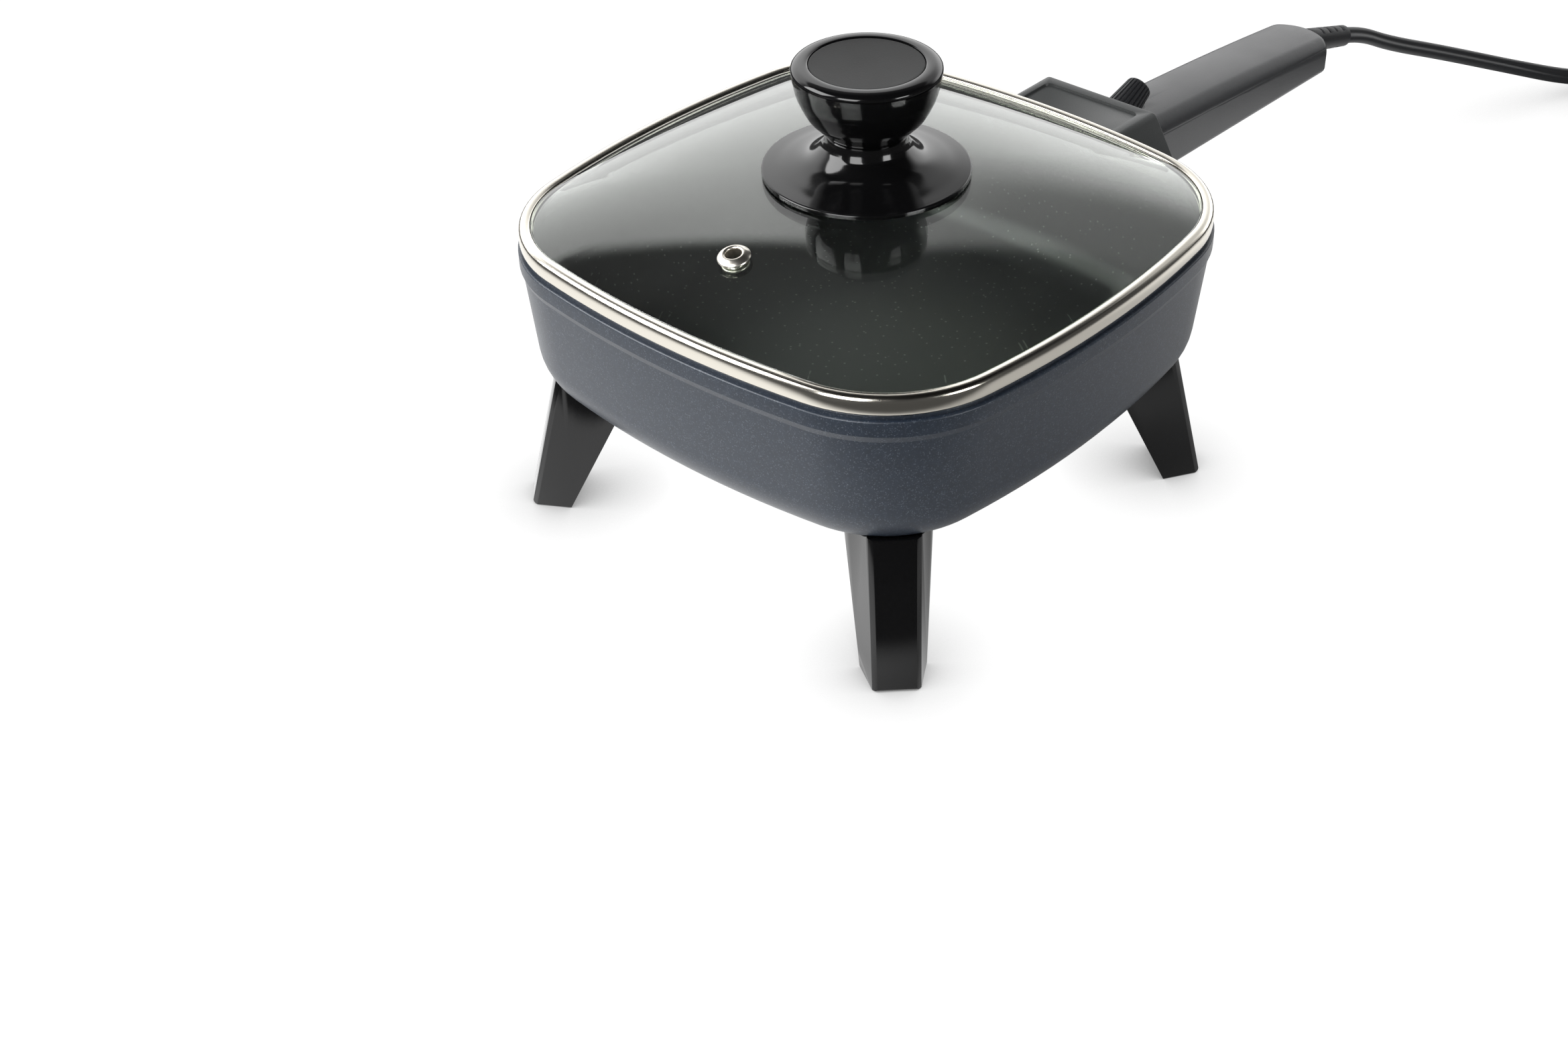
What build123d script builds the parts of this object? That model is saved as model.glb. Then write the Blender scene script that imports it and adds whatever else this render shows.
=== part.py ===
from build123d import *

import os
from math import atan2, cos, degrees, pi, radians, sin, sqrt, tan

# Small electric skillet: a deep cast pan on four splayed legs, a lift-off glass lid
# with a steel rim and a moulded knob, and a plug-in temperature probe whose grip is
# the skillet's handle.
#
# Millimetres, +Z up, floor at z = 0, +X along the handle. The origin is the middle of
# the footprint without the cord, so the pan's own axis stands at x = PAN_X. Every
# dimension below is counted from the pan's axis.

os.makedirs("parts", exist_ok=True)

# ---- Overall ----------------------------------------------------------------------
PAN_X = -84.25  # pan axis: half of handle end (262) less half of lip (93.5), negated
LID_HALF = 93.0  # centre to the middle of a side, across the lid's rim
SIDE_R = 336.0  # bowed side
CORNER_R = 45.0  # round corner

# ---- Pan --------------------------------------------------------------------------
PAN_BOTTOM = 44.07
PAN_FLOOR = 49.0
WALL_TOP = 87.7  # where the drafted wall meets the flare under the lip
LIP_BOTTOM = 89.95
LIP_TOP = 95.0  # stands lower than the seat, so a dark line shows under the lid
PAN_TOP = 96.2
WALL_INSET = 0.43  # wall at WALL_TOP, in from the rim's outline
LIP_INSET = -0.5
SEAT_INSET = 0.9  # the lid's seat, raised inside the lip
MOUTH_INSET = 4.2
DRAFT = 5.71  # degrees
PAN_EDGE_R = 18.45  # outside bottom edge
WELL_EDGE_R = 15.0  # inside bottom edge

# ---- Heater and its sockets under the pan -----------------------------------------
HEATER_Z = 40.0
HEATER_R = 3.5
HEATER_RING = 52.0
HEATER_BEND = 10.0
HEATER_END = 100.0
PIN_Y = 13.0
PIN_R = 2.4
PIN_END = 118.0
BOSS_FACE = 99.5
SLEEVE_R = 4.2
SENSOR_R = 3.0
RUNNING = 0.06  # running clearance, radial

# ---- Legs -------------------------------------------------------------------------
LEG_TURNS = (45, 135, 225, 315)
LEG_FRONT_HALF = 7.4  # outer face at the floor
LEG_LEDGE_HALF = 7.9  # and at the ledge
LEG_CHAMFER = 1.5
LEG_TOP = 53.0
LEG_LEDGE = 48.1
FOOT_STEP = 0.3
LEG_BOLT = 90.0  # pan axis to leg screw
LEG_SEAT = 40.0
SEAT_GAP = 0.3  # between the pan's skin and what follows it

# ---- Guard over the sockets -------------------------------------------------------
GUARD_TOP = 93.4
GUARD_FRONT = 125.2
GUARD_BACK = 84.0
GUARD_TOP_HALF = 22.6
GUARD_SIDE_HALF = 33.0
GUARD_SLOPE = 0.6  # widening per unit of fall
GUARD_FOOT = 32.0
GUARD_WALL = 2.2

# ---- Lid --------------------------------------------------------------------------
RIM_BOTTOM = 96.5
DOME_R = 450.0
DOME_TOP = 116.4
GLASS = 3.6
GLASS_INSET = 3.3
GLASS_SEAT = 97.4
GLASS_LEDGE = 101.1
VENT_X = -60.0
SCREW_R = 2.4

# ---- Probe ------------------------------------------------------------------------
GRIP_HALF = 14.0
GRIP_START = 131.0
GRIP_END = 262.0
GRIP_SHOULDER = 255.0  # where the end starts to round in plan
GRIP_END_R = 3.0
PROBE_WALL = 2.2
NOSE_FRONT = 106.0
NOSE_HALF = 19.5
DIAL_TILT = 25.8
DIAL_TIP = (148.95, 87.57)
DIAL_LENGTH = 17.5
SHELL_SCREWS = ((158.0, 8.4), (158.0, -8.4), (236.0, 8.4), (236.0, -8.4))

# ---- Cord -------------------------------------------------------------------------
CORD_D = 6.5
RELIEF_FOOT = (262.0, 0.0, 64.0)
RELIEF_SWING = 6.6  # degrees towards -Y
RELIEF_DROOP = 13.1  # degrees down
RELIEF_LENGTH = 25.8
COIL_CENTRE = (434.5, -99.3)
COIL_MEAN = 36.2
COIL_LOW = 0.8
COIL_HIGH = 13.0
COIL_WIDTH = 13.0


def level(height):
    """Horizontal plane centred on the pan."""
    return Plane((PAN_X, 0, height))


def across(distance):
    """Upright plane facing +X, drawn in (y, z), at a distance from the pan's axis."""
    return Plane((PAN_X + distance, 0, 0), x_dir=(0, 1, 0), z_dir=(1, 0, 0))


def beside(plane):
    """Plane that holds another plane's axis as its own vertical."""
    return Plane(plane.origin, x_dir=plane.x_dir, z_dir=-plane.y_dir)


def turned(x, y, turn):
    """A point turned about the pan's axis, in plan."""
    angle = radians(turn)
    return x * cos(angle) - y * sin(angle), x * sin(angle) + y * cos(angle)


LENGTHWISE = beside(level(0))  # drawn in (x, z)

# Outline: centres and tangent points of the four sides and four corners
BOW = SIDE_R - LID_HALF
CORNER_AT = (-2 * BOW + sqrt(4 * BOW**2 - 8 * (BOW**2 - (SIDE_R - CORNER_R) ** 2))) / 4
CORNER_TURN = degrees(atan2(CORNER_AT, CORNER_AT + BOW))


class Outline(BaseSketchObject):
    """The pan's plan: bowed sides joined by round corners, moved in by an inset."""

    def __init__(self, inset=0.0, rotation=0, align=None, mode=Mode.ADD):
        with BuildSketch() as plan:
            with BuildLine():
                for turn in (0, 90, 180, 270):
                    CenterArc(
                        turned(-BOW, 0, turn),
                        SIDE_R - inset,
                        turn - CORNER_TURN,
                        2 * CORNER_TURN,
                    )
                    CenterArc(
                        turned(CORNER_AT, CORNER_AT, turn),
                        CORNER_R - inset,
                        turn + CORNER_TURN,
                        90 - 2 * CORNER_TURN,
                    )
            make_face()
        super().__init__(plan.sketch, rotation, align, mode)


class PanSkin(BasePartObject):
    """The pan's outside as a solid, grown by a gap for whatever fits round it."""

    def __init__(self, gap=0.0, rotation=(0, 0, 0), align=None, mode=Mode.ADD):
        foot_inset = WALL_INSET + tan(radians(DRAFT)) * (WALL_TOP - PAN_BOTTOM)
        flare = degrees(atan2(WALL_INSET - LIP_INSET, LIP_BOTTOM - WALL_TOP))
        with BuildPart() as skin:
            with BuildSketch(Plane.XY.offset(PAN_BOTTOM - gap)):
                Outline(foot_inset - gap)
            extrude(amount=WALL_TOP - PAN_BOTTOM + gap, taper=-DRAFT)
            fillet(skin.edges().group_by(Axis.Z)[0], radius=PAN_EDGE_R + gap)
            with BuildSketch(Plane.XY.offset(WALL_TOP)):
                Outline(WALL_INSET - gap)
            extrude(amount=LIP_BOTTOM - WALL_TOP, taper=-flare)
            with BuildSketch(Plane.XY.offset(LIP_BOTTOM)):
                Outline(LIP_INSET - gap)
            extrude(amount=LIP_TOP - LIP_BOTTOM + gap)
            fillet(skin.edges().group_by(Axis.Z)[-1], radius=0.6)
            with BuildSketch(Plane.XY.offset(LIP_TOP)):
                Outline(SEAT_INSET)
            extrude(amount=PAN_TOP - LIP_TOP)
        super().__init__(skin.part, rotation, align, mode)


class PanWell(BasePartObject):
    """The hollow of the pan as a solid: drafted walls that run into the floor."""

    def __init__(self, rotation=(0, 0, 0), align=None, mode=Mode.ADD):
        with BuildPart() as well:
            with BuildSketch(Plane.XY.offset(PAN_FLOOR)):
                Outline(MOUTH_INSET + tan(radians(DRAFT)) * (PAN_TOP - PAN_FLOOR))
            extrude(amount=PAN_TOP - PAN_FLOOR + 1, taper=-DRAFT)
            fillet(well.edges().group_by(Axis.Z)[0], radius=WELL_EDGE_R)
        super().__init__(well.part, rotation, align, mode)


def save(piece, name):
    """Label a finished piece and write its file."""
    piece.part.label = name
    export_step(piece.part, f"parts/{name}.step")
    print(f"{name:22} {len(piece.solids()):2} solid(s) {piece.part.volume:10.0f} mm3")


# ==== Heater path: a ring under the floor whose two ends run out to the sockets =====
bend_y = PIN_Y + HEATER_BEND
bend_x = sqrt((HEATER_RING + HEATER_BEND) ** 2 - bend_y**2)
ring_turn = degrees(atan2(bend_y, bend_x))

with BuildLine(level(HEATER_Z)) as heater_path:
    CenterArc((0, 0), HEATER_RING, ring_turn, 360 - 2 * ring_turn)
    for side in (1, -1):
        CenterArc(
            (bend_x, side * bend_y), HEATER_BEND, side * 270, side * (ring_turn - 90)
        )
        Line((bend_x, side * PIN_Y), (HEATER_END, side * PIN_Y))

with BuildPart() as heating_element:
    with BuildSketch(across(HEATER_END)):
        with Locations((PIN_Y, HEATER_Z)):
            Circle(HEATER_R)
    sweep(path=heater_path.wires()[0])
save(heating_element, "heating_element")

# ==== Pan ==========================================================================
with BuildPart(level(0)) as pan:
    PanSkin()
    # ridge that carries the heater, and the thick boss behind the sockets
    with BuildSketch(level(HEATER_Z - 1.5)):
        Circle(HEATER_RING + 6.5)
        Circle(HEATER_RING - 6.5, mode=Mode.SUBTRACT)
    extrude(amount=PAN_BOTTOM - HEATER_Z + 2.5)
    ridge_edges = pan.edges().filter_by(GeomType.CIRCLE).group_by(Axis.Z)[0]
    fillet(ridge_edges, radius=1.6)
    with BuildSketch(across(62)):
        with Locations((0, 44.5)):
            RectangleRounded(58, 20, 4)
    extrude(amount=BOSS_FACE - 62)
    # leg bosses
    with BuildSketch(level(LEG_SEAT)):
        with PolarLocations(LEG_BOLT, 4, start_angle=45):
            Circle(5)
    extrude(amount=8)
    PanWell(mode=Mode.SUBTRACT)
    # groove for the heater, bores for the sensor sleeve and the screws
    with BuildSketch(across(HEATER_END)):
        with Locations((PIN_Y, HEATER_Z)):
            Circle(HEATER_R + 0.05)
    sweep(path=heater_path.wires()[0], mode=Mode.SUBTRACT)
    with BuildSketch(across(BOSS_FACE)):
        with Locations((0, HEATER_Z)):
            Circle(SLEEVE_R + 0.05)
    extrude(amount=-48, mode=Mode.SUBTRACT)
    with BuildSketch(across(BOSS_FACE)):
        with Locations((23, 48), (-23, 48)):
            Circle(1.65)
    extrude(amount=-12, mode=Mode.SUBTRACT)
    with BuildSketch(level(LEG_SEAT)):
        with PolarLocations(LEG_BOLT, 4, start_angle=45):
            Circle(1.95)
    extrude(amount=8, mode=Mode.SUBTRACT)
save(pan, "pan")

# ==== Socket side: pins, sensor sleeve, guard, screws ===============================
with BuildPart() as terminal_pins:
    with BuildSketch(across(HEATER_END)):
        with Locations((PIN_Y, HEATER_Z), (-PIN_Y, HEATER_Z)):
            Circle(PIN_R)
    extrude(amount=PIN_END - HEATER_END)
    chamfer(terminal_pins.faces().sort_by(Axis.X)[-2:].edges(), length=0.8)
save(terminal_pins, "terminal_pins")

with BuildPart() as sensor_sleeve:
    with BuildSketch(across(52)):
        with Locations((0, HEATER_Z)):
            Circle(SLEEVE_R)
            Circle(SENSOR_R + RUNNING, mode=Mode.SUBTRACT)
    extrude(amount=48)
save(sensor_sleeve, "sensor_sleeve")


class GuardSection(BaseSketchObject):
    """Hood section in (y, z): narrow flat top, sloping shoulders, straight sides."""

    def __init__(self, inset=0.0, foot=GUARD_FOOT, rotation=0, align=None, mode=Mode.ADD):
        slant = inset * sqrt(1 + GUARD_SLOPE**2)
        top = GUARD_TOP - inset
        top_half = GUARD_TOP_HALF + GUARD_SLOPE * inset - slant
        side_half = GUARD_SIDE_HALF - inset
        knee = GUARD_TOP - (side_half - GUARD_TOP_HALF + slant) / GUARD_SLOPE
        with BuildSketch() as section:
            with BuildLine():
                Polyline(
                    (top_half, top),
                    (side_half, knee),
                    (side_half, foot),
                    (-side_half, foot),
                    (-side_half, knee),
                    (-top_half, top),
                    close=True,
                )
            make_face()
            crown = section.vertices().group_by(Axis.Y)[-1]
            knees = section.vertices().group_by(Axis.Y)[-2]
            fillet(crown, radius=2.6 - 0.5 * inset)
            fillet(knees, radius=6 - inset)
        super().__init__(section.sketch, rotation, align, mode)


with BuildPart() as socket_guard:
    with BuildSketch(across(GUARD_BACK)):
        GuardSection()
    extrude(amount=GUARD_FRONT - GUARD_BACK)
    front = socket_guard.faces().sort_by(Axis.X)[-1]
    fillet(front.edges().filter_by(lambda e: e.center().Z > GUARD_FOOT + 1), radius=0.8)
    with BuildSketch(across(GUARD_BACK)):
        GuardSection(GUARD_WALL, GUARD_FOOT - 1)
    extrude(amount=GUARD_FRONT - GUARD_BACK, mode=Mode.SUBTRACT)
    # wall that bolts to the pan's boss, pierced for the pins and the sensor
    with BuildSketch(across(BOSS_FACE)):
        with Locations((0, 47)):
            Rectangle(2 * GUARD_SIDE_HALF - 2, 30)
        with Locations((PIN_Y, HEATER_Z), (-PIN_Y, HEATER_Z), (0, HEATER_Z)):
            Circle(5.2, mode=Mode.SUBTRACT)
        with Locations((23, 48), (-23, 48)):
            Circle(2.2, mode=Mode.SUBTRACT)
    extrude(amount=2.6)
    # shallow panel sunk in the top, open towards the pan
    with BuildSketch(level(GUARD_TOP)):
        with Locations((GUARD_BACK, 0.5)):
            RectangleRounded(2 * (121 - GUARD_BACK), 38, 2.5)
    extrude(amount=-0.9, mode=Mode.SUBTRACT)
    with Locations((PAN_X, 0, 0)):
        PanSkin(SEAT_GAP, mode=Mode.SUBTRACT)
save(socket_guard, "socket_guard")

with BuildPart() as guard_screws:
    with BuildSketch(across(BOSS_FACE + 2.6)):
        with Locations((23, 48), (-23, 48)):
            Circle(3.6)
    extrude(amount=2.2)
    fillet(guard_screws.faces().sort_by(Axis.X)[-2:].edges(), radius=0.9)
    with BuildSketch(across(BOSS_FACE + 4.8)):
        with Locations((23, 48), (-23, 48)):
            Rectangle(4, 0.8)
            Rectangle(0.8, 4)
    extrude(amount=-1.1, mode=Mode.SUBTRACT)
    with BuildSketch(across(BOSS_FACE + 2.6)):
        with Locations((23, 48), (-23, 48)):
            Circle(1.6)
    extrude(amount=-12)
save(guard_screws, "guard_screws")

# ==== Legs: wedges on the diagonals, wide at the back and cut to the pan's curve =====
for number, turn in enumerate(LEG_TURNS, start=1):
    outwards = Vector(1, 0, 0).rotate(Axis.Z, turn)

    with BuildPart() as leg:
        for height in (FOOT_STEP, LEG_TOP):
            outer = 111.6 - 0.236 * height
            inner = 98.8 - 0.485 * height
            back_half = 10.2 + 0.083 * height
            front_half = LEG_FRONT_HALF + (LEG_LEDGE_HALF - LEG_FRONT_HALF) * height / LEG_LEDGE
            with BuildSketch(Plane((PAN_X, 0, height), x_dir=outwards)):
                with BuildLine():
                    Polyline(
                        (inner, back_half),
                        (outer - LEG_CHAMFER, front_half),
                        (outer, front_half - LEG_CHAMFER),
                        (outer, LEG_CHAMFER - front_half),
                        (outer - LEG_CHAMFER, -front_half),
                        (inner, -back_half),
                        close=True,
                    )
                make_face()
        loft()
        toe = leg.faces().sort_by(Axis.Z)[0].edges()
        outer_toe = toe.sort_by(lambda e: e.center().dot(outwards))[-1]
        fillet(outer_toe, radius=0.8)
        # foot
        with BuildSketch(Plane((PAN_X, 0, 0), x_dir=outwards)):
            with Locations((104.2, 0)):
                RectangleRounded(8.4, 10, 1)
        extrude(amount=FOOT_STEP + 0.5)
        # recess behind the ledge, between the two side wings
        with BuildSketch(Plane((PAN_X, 0, LEG_LEDGE), x_dir=outwards)):
            with Locations((LEG_BOLT + 10, 0)):
                Rectangle(20, 2 * LEG_LEDGE_HALF + 0.4)
        extrude(amount=10, mode=Mode.SUBTRACT)
        with Locations((PAN_X, 0, 0)):
            PanSkin(SEAT_GAP, mode=Mode.SUBTRACT)
        # seat for the pan's boss, screw hole and its counterbore
        with BuildSketch(Plane((PAN_X, 0, LEG_SEAT), x_dir=outwards)):
            with Locations((LEG_BOLT, 0)):
                Circle(5.25)
        extrude(amount=20, mode=Mode.SUBTRACT)
        with BuildSketch(Plane((PAN_X, 0, 0), x_dir=outwards)):
            with Locations((LEG_BOLT, 0)):
                Circle(2.1)
        extrude(amount=LEG_SEAT + 1, mode=Mode.SUBTRACT)
        with BuildSketch(Plane((PAN_X, 0, 0), x_dir=outwards)):
            with Locations((LEG_BOLT, 0)):
                Circle(3.9)
        extrude(amount=34, mode=Mode.SUBTRACT)
    save(leg, f"leg_{number}")

with BuildPart() as leg_screws:
    with BuildSketch(level(31.4)):
        with PolarLocations(LEG_BOLT, 4, start_angle=45):
            Circle(3.5)
    extrude(amount=2.6)
    with BuildSketch(level(31.4)):
        with PolarLocations(LEG_BOLT, 4, start_angle=45):
            Rectangle(4.2, 0.9)
            Rectangle(0.9, 4.2)
    extrude(amount=1.4, mode=Mode.SUBTRACT)
    with BuildSketch(level(34)):
        with PolarLocations(LEG_BOLT, 4, start_angle=45):
            Circle(1.9)
    extrude(amount=13.6)
save(leg_screws, "leg_screws")

# ==== Lid: rolled steel rim, domed glass, vent, knob ================================
# The rim is one bent strip: flange under the glass, outer band, bead that grips the
# glass from above, and a skirt that drops into the pan's mouth.
with BuildLine(level(RIM_BOTTOM)) as rim_path:
    for turn in (0, 90, 180, 270):
        side = turned(-BOW, 0, turn)
        corner = turned(CORNER_AT, CORNER_AT, turn)
        CenterArc(side, SIDE_R, turn - CORNER_TURN, 2 * CORNER_TURN)
        CenterArc(corner, CORNER_R, turn + CORNER_TURN, 90 - 2 * CORNER_TURN)
rim_wire = rim_path.wires()[0]
rim_heading = rim_wire % 0
rim_section = Plane(
    rim_wire @ 0, x_dir=rim_heading.cross(Vector(0, 0, 1)), z_dir=-rim_heading
)

with BuildPart() as lid_rim:
    with BuildSketch(rim_section):
        with BuildLine():
            Polyline(
                (-3.05, 5.85),
                (-3.05, 4.65),
                (-0.8, 4.65),
                (-0.8, 0.85),
                (-5.4, 0.85),
                (-5.4, -3.0),
                (-4.7, -3.0),
                (-4.7, 0),
                (-0.4, 0),
                (0, 0.4),
                (0, 4.7),
                (-0.25, 5.1),
                (-0.7, 5.25),
                (-0.7, 5.45),
                (-0.3, 5.6),
            )
            ThreePointArc((-0.3, 5.6), (-1.65, 6.7), (-3.05, 5.85))
        make_face()
    sweep(path=rim_wire)
save(lid_rim, "lid_rim")



class DomeBlank(BasePartObject):
    """Solid under the lid's dome: upright border, spherical top, rounded between."""

    def __init__(self, inset, drop, border, rotation=(0, 0, 0), align=None, mode=Mode.ADD):
        with BuildPart() as dome:
            with BuildSketch(Plane.XY.offset(85)):
                Outline(inset)
            extrude(amount=40)
            with Locations((0, 0, DOME_TOP - DOME_R)):
                Sphere(DOME_R - drop, rotation=(90, 0, 0), mode=Mode.INTERSECT)
            fillet(dome.faces().sort_by(Axis.Z)[-1].edges(), radius=border)
        super().__init__(dome.part, rotation, align, mode)


def on_dome(x, drop=0.0):
    """Plane on the dome above a point of the lengthwise line, square to the glass."""
    height = sqrt((DOME_R - drop) ** 2 - x**2)
    return Plane(
        (PAN_X + x, 0, DOME_TOP - DOME_R + height),
        x_dir=(height, 0, -x),
        z_dir=(x, 0, height),
    )


with BuildPart(level(0)) as lid_glass:
    DomeBlank(GLASS_INSET, 0, 5)
    with BuildSketch(level(80)):
        Outline(-5)
    extrude(amount=GLASS_LEDGE - 80, mode=Mode.SUBTRACT)
    with BuildSketch(level(GLASS_SEAT)):
        Outline(1.0)
    extrude(amount=GLASS_LEDGE - GLASS_SEAT)
    DomeBlank(GLASS_INSET + GLASS, GLASS, 2.2, mode=Mode.SUBTRACT)
    with BuildSketch(level(100)):
        Circle(SCREW_R + 0.4)
    extrude(amount=30, mode=Mode.SUBTRACT)
    with BuildSketch(on_dome(VENT_X)):
        Circle(3.3)
    extrude(amount=10, both=True, mode=Mode.SUBTRACT)
save(lid_glass, "lid_glass")

# Vent: flanged eyelet, rolled over under the glass
with BuildPart() as vent_grommet:
    vent_at = on_dome(VENT_X)
    with BuildSketch(beside(vent_at)):
        with BuildLine():
            Polyline((2.5, -4.6), (2.5, 1.0))
            ThreePointArc((2.5, 1.0), (2.85, 1.7), (3.4, 1.6))
            Polyline((3.4, 1.6), (5.1, 0.45), (5.1, 0.03))
            Polyline((5.1, 0.03), (3.2, 0.03), (3.2, -3.75), (4.3, -3.75), (4.3, -4.6))
            Line((4.3, -4.6), (2.5, -4.6))
        make_face()
    revolve(axis=Axis(vent_at.origin, vent_at.z_dir))
save(vent_grommet, "vent_grommet")

def cap_arc(rim_r, rim_z, apex_z):
    """Arc of a shallow cap or dish, from its rim to the axis, in (r, z)."""
    rise = apex_z - rim_z
    centre = apex_z - (rim_r**2 + rise**2) / (2 * rise)
    rim_turn = degrees(atan2(rim_z - centre, rim_r))
    apex_turn = 90 if rise > 0 else -90
    return CenterArc((0, centre), abs(apex_z - centre), rim_turn, apex_turn - rim_turn)


# Knob: trumpet flange on the glass, bowl above it, matt disc in the bowl's top
with BuildPart() as knob_flange:
    with BuildSketch(LENGTHWISE):
        with BuildLine():
            Polyline((SCREW_R + 0.2, 116.45), (SCREW_R + 0.2, 128.4), (12.6, 128.4))
            Spline(
                (12.6, 128.4),
                (14.5, 123.5),
                (19.0, 119.8),
                (26.0, 118.0),
                (32.0, 117.1),
                tangents=((0.05, -1), (1, -0.14)),
            )
            Polyline((32.0, 117.1), (32.35, 116.75), (32.35, 115.7))
            Polyline((32.35, 115.7), (9, 116.4), (SCREW_R + 0.2, 116.45))
        make_face()
    revolve(axis=Axis((PAN_X, 0, 0), (0, 0, 1)))
save(knob_flange, "knob_flange")

with BuildPart() as lid_knob:
    with BuildSketch(LENGTHWISE):
        with BuildLine():
            Polyline((0, 149.4), (0, 139), (SCREW_R, 138), (SCREW_R, 128.5), (12.2, 128.5))
            Line((12.2, 128.5), (12.8, 128.9))
            Spline(
                (12.8, 128.9),
                (15.8, 132.0),
                (18.4, 135.0),
                (21.3, 141.0),
                (22.5, 146.0),
                (22.9, 148.7),
            )
            # parting line groove
            Polyline((22.9, 148.7), (22.55, 148.85), (22.55, 149.1), (22.95, 149.25))
            Spline(
                (22.95, 149.25),
                (22.75, 149.9),
                (22.1, 150.55),
                (20.9, 151.05),
                (19.4, 151.2),
                (17.8, 151.05),
            )
            Polyline((17.8, 151.05), (17.8, 149.4), (0, 149.4))
        make_face()
    revolve(axis=Axis((PAN_X, 0, 0), (0, 0, 1)))
save(lid_knob, "lid_knob")

with BuildPart() as knob_top_disc:
    with BuildSketch(LENGTHWISE):
        with BuildLine():
            Polyline((0, 150.5), (0, 149.4), (17.6, 149.4), (17.6, 150.8), (17.3, 151.1))
            cap_arc(17.3, 151.1, 150.5)
        make_face()
    revolve(axis=Axis((PAN_X, 0, 0), (0, 0, 1)))
save(knob_top_disc, "knob_top_disc")

glass_under = DOME_TOP - GLASS

with BuildPart() as knob_washer:
    with BuildSketch(level(glass_under - 1.3)):
        Circle(8)
        Circle(SCREW_R + 0.1, mode=Mode.SUBTRACT)
    extrude(amount=1.2)
save(knob_washer, "knob_washer")

with BuildPart() as knob_screw:
    with BuildSketch(level(glass_under - 1.3)):
        Circle(4.6)
    extrude(amount=-2.6)
    fillet(knob_screw.faces().sort_by(Axis.Z)[0].edges(), radius=1.2)
    with BuildSketch(level(glass_under - 3.9)):
        Rectangle(5, 1)
        Rectangle(1, 5)
    extrude(amount=1.4, mode=Mode.SUBTRACT)
    with BuildSketch(level(glass_under - 1.3)):
        Circle(SCREW_R - 0.05)
    extrude(amount=137.6 - glass_under + 1.3)
save(knob_screw, "knob_screw")

# ==== Probe: two half shells that hold the contacts, thermostat and dial =============
def grip_top(x):
    """Height of the grip's crown, flat near the dial and falling to the cord."""
    return 81.2 - 0.052 * (x - GRIP_START) - 0.00026 * (x - GRIP_START) ** 2


def grip_bottom(x):
    """Height of the grip's base."""
    return 59.5 - 0.0194 * (x - GRIP_START)


tilt = radians(DIAL_TILT)
dial_axis = Vector(cos(tilt), 0, sin(tilt))
dial_seat = Vector(PAN_X + DIAL_TIP[0], 0, DIAL_TIP[1]) - dial_axis * DIAL_LENGTH
DIAL_PLANE = Plane(dial_seat, x_dir=(sin(tilt), 0, -cos(tilt)), z_dir=dial_axis)
SEAM = Plane((PAN_X + 147, 0, 74.6), x_dir=(1, 0, -0.068), z_dir=(0.068, 0, 1))
seam_heights = [74.6 - 0.068 * (x - 147) for x, y in SHELL_SCREWS]
relief_swing = radians(RELIEF_SWING)
relief_droop = radians(RELIEF_DROOP)
relief_axis = Vector(
    cos(relief_droop) * cos(relief_swing),
    -cos(relief_droop) * sin(relief_swing),
    -sin(relief_droop),
)
relief_foot = Vector(RELIEF_FOOT) + Vector(PAN_X, 0, 0)
RELIEF_PLANE = Plane(relief_foot, x_dir=(0, 1, 0), z_dir=relief_axis)


class GripSection(BaseSketchObject):
    """Grip section in (y, z): flat base, straight sides, crowned top."""

    def __init__(self, x, inset=0.0, rotation=0, align=None, mode=Mode.ADD):
        half = GRIP_HALF - inset
        top = grip_top(x) - inset
        bottom = grip_bottom(x) + inset
        with BuildSketch() as section:
            with BuildLine():
                Polyline((-half, top - 1.1), (-half, bottom), (half, bottom), (half, top - 1.1))
                ThreePointArc((half, top - 1.1), (0, top), (-half, top - 1.1))
            make_face()
            fillet(section.vertices().group_by(Axis.Y)[-1], radius=6 - inset)
            fillet(section.vertices().group_by(Axis.Y)[0], radius=2.4 - inset / 2)
        super().__init__(section.sketch, rotation, align, mode)


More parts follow.
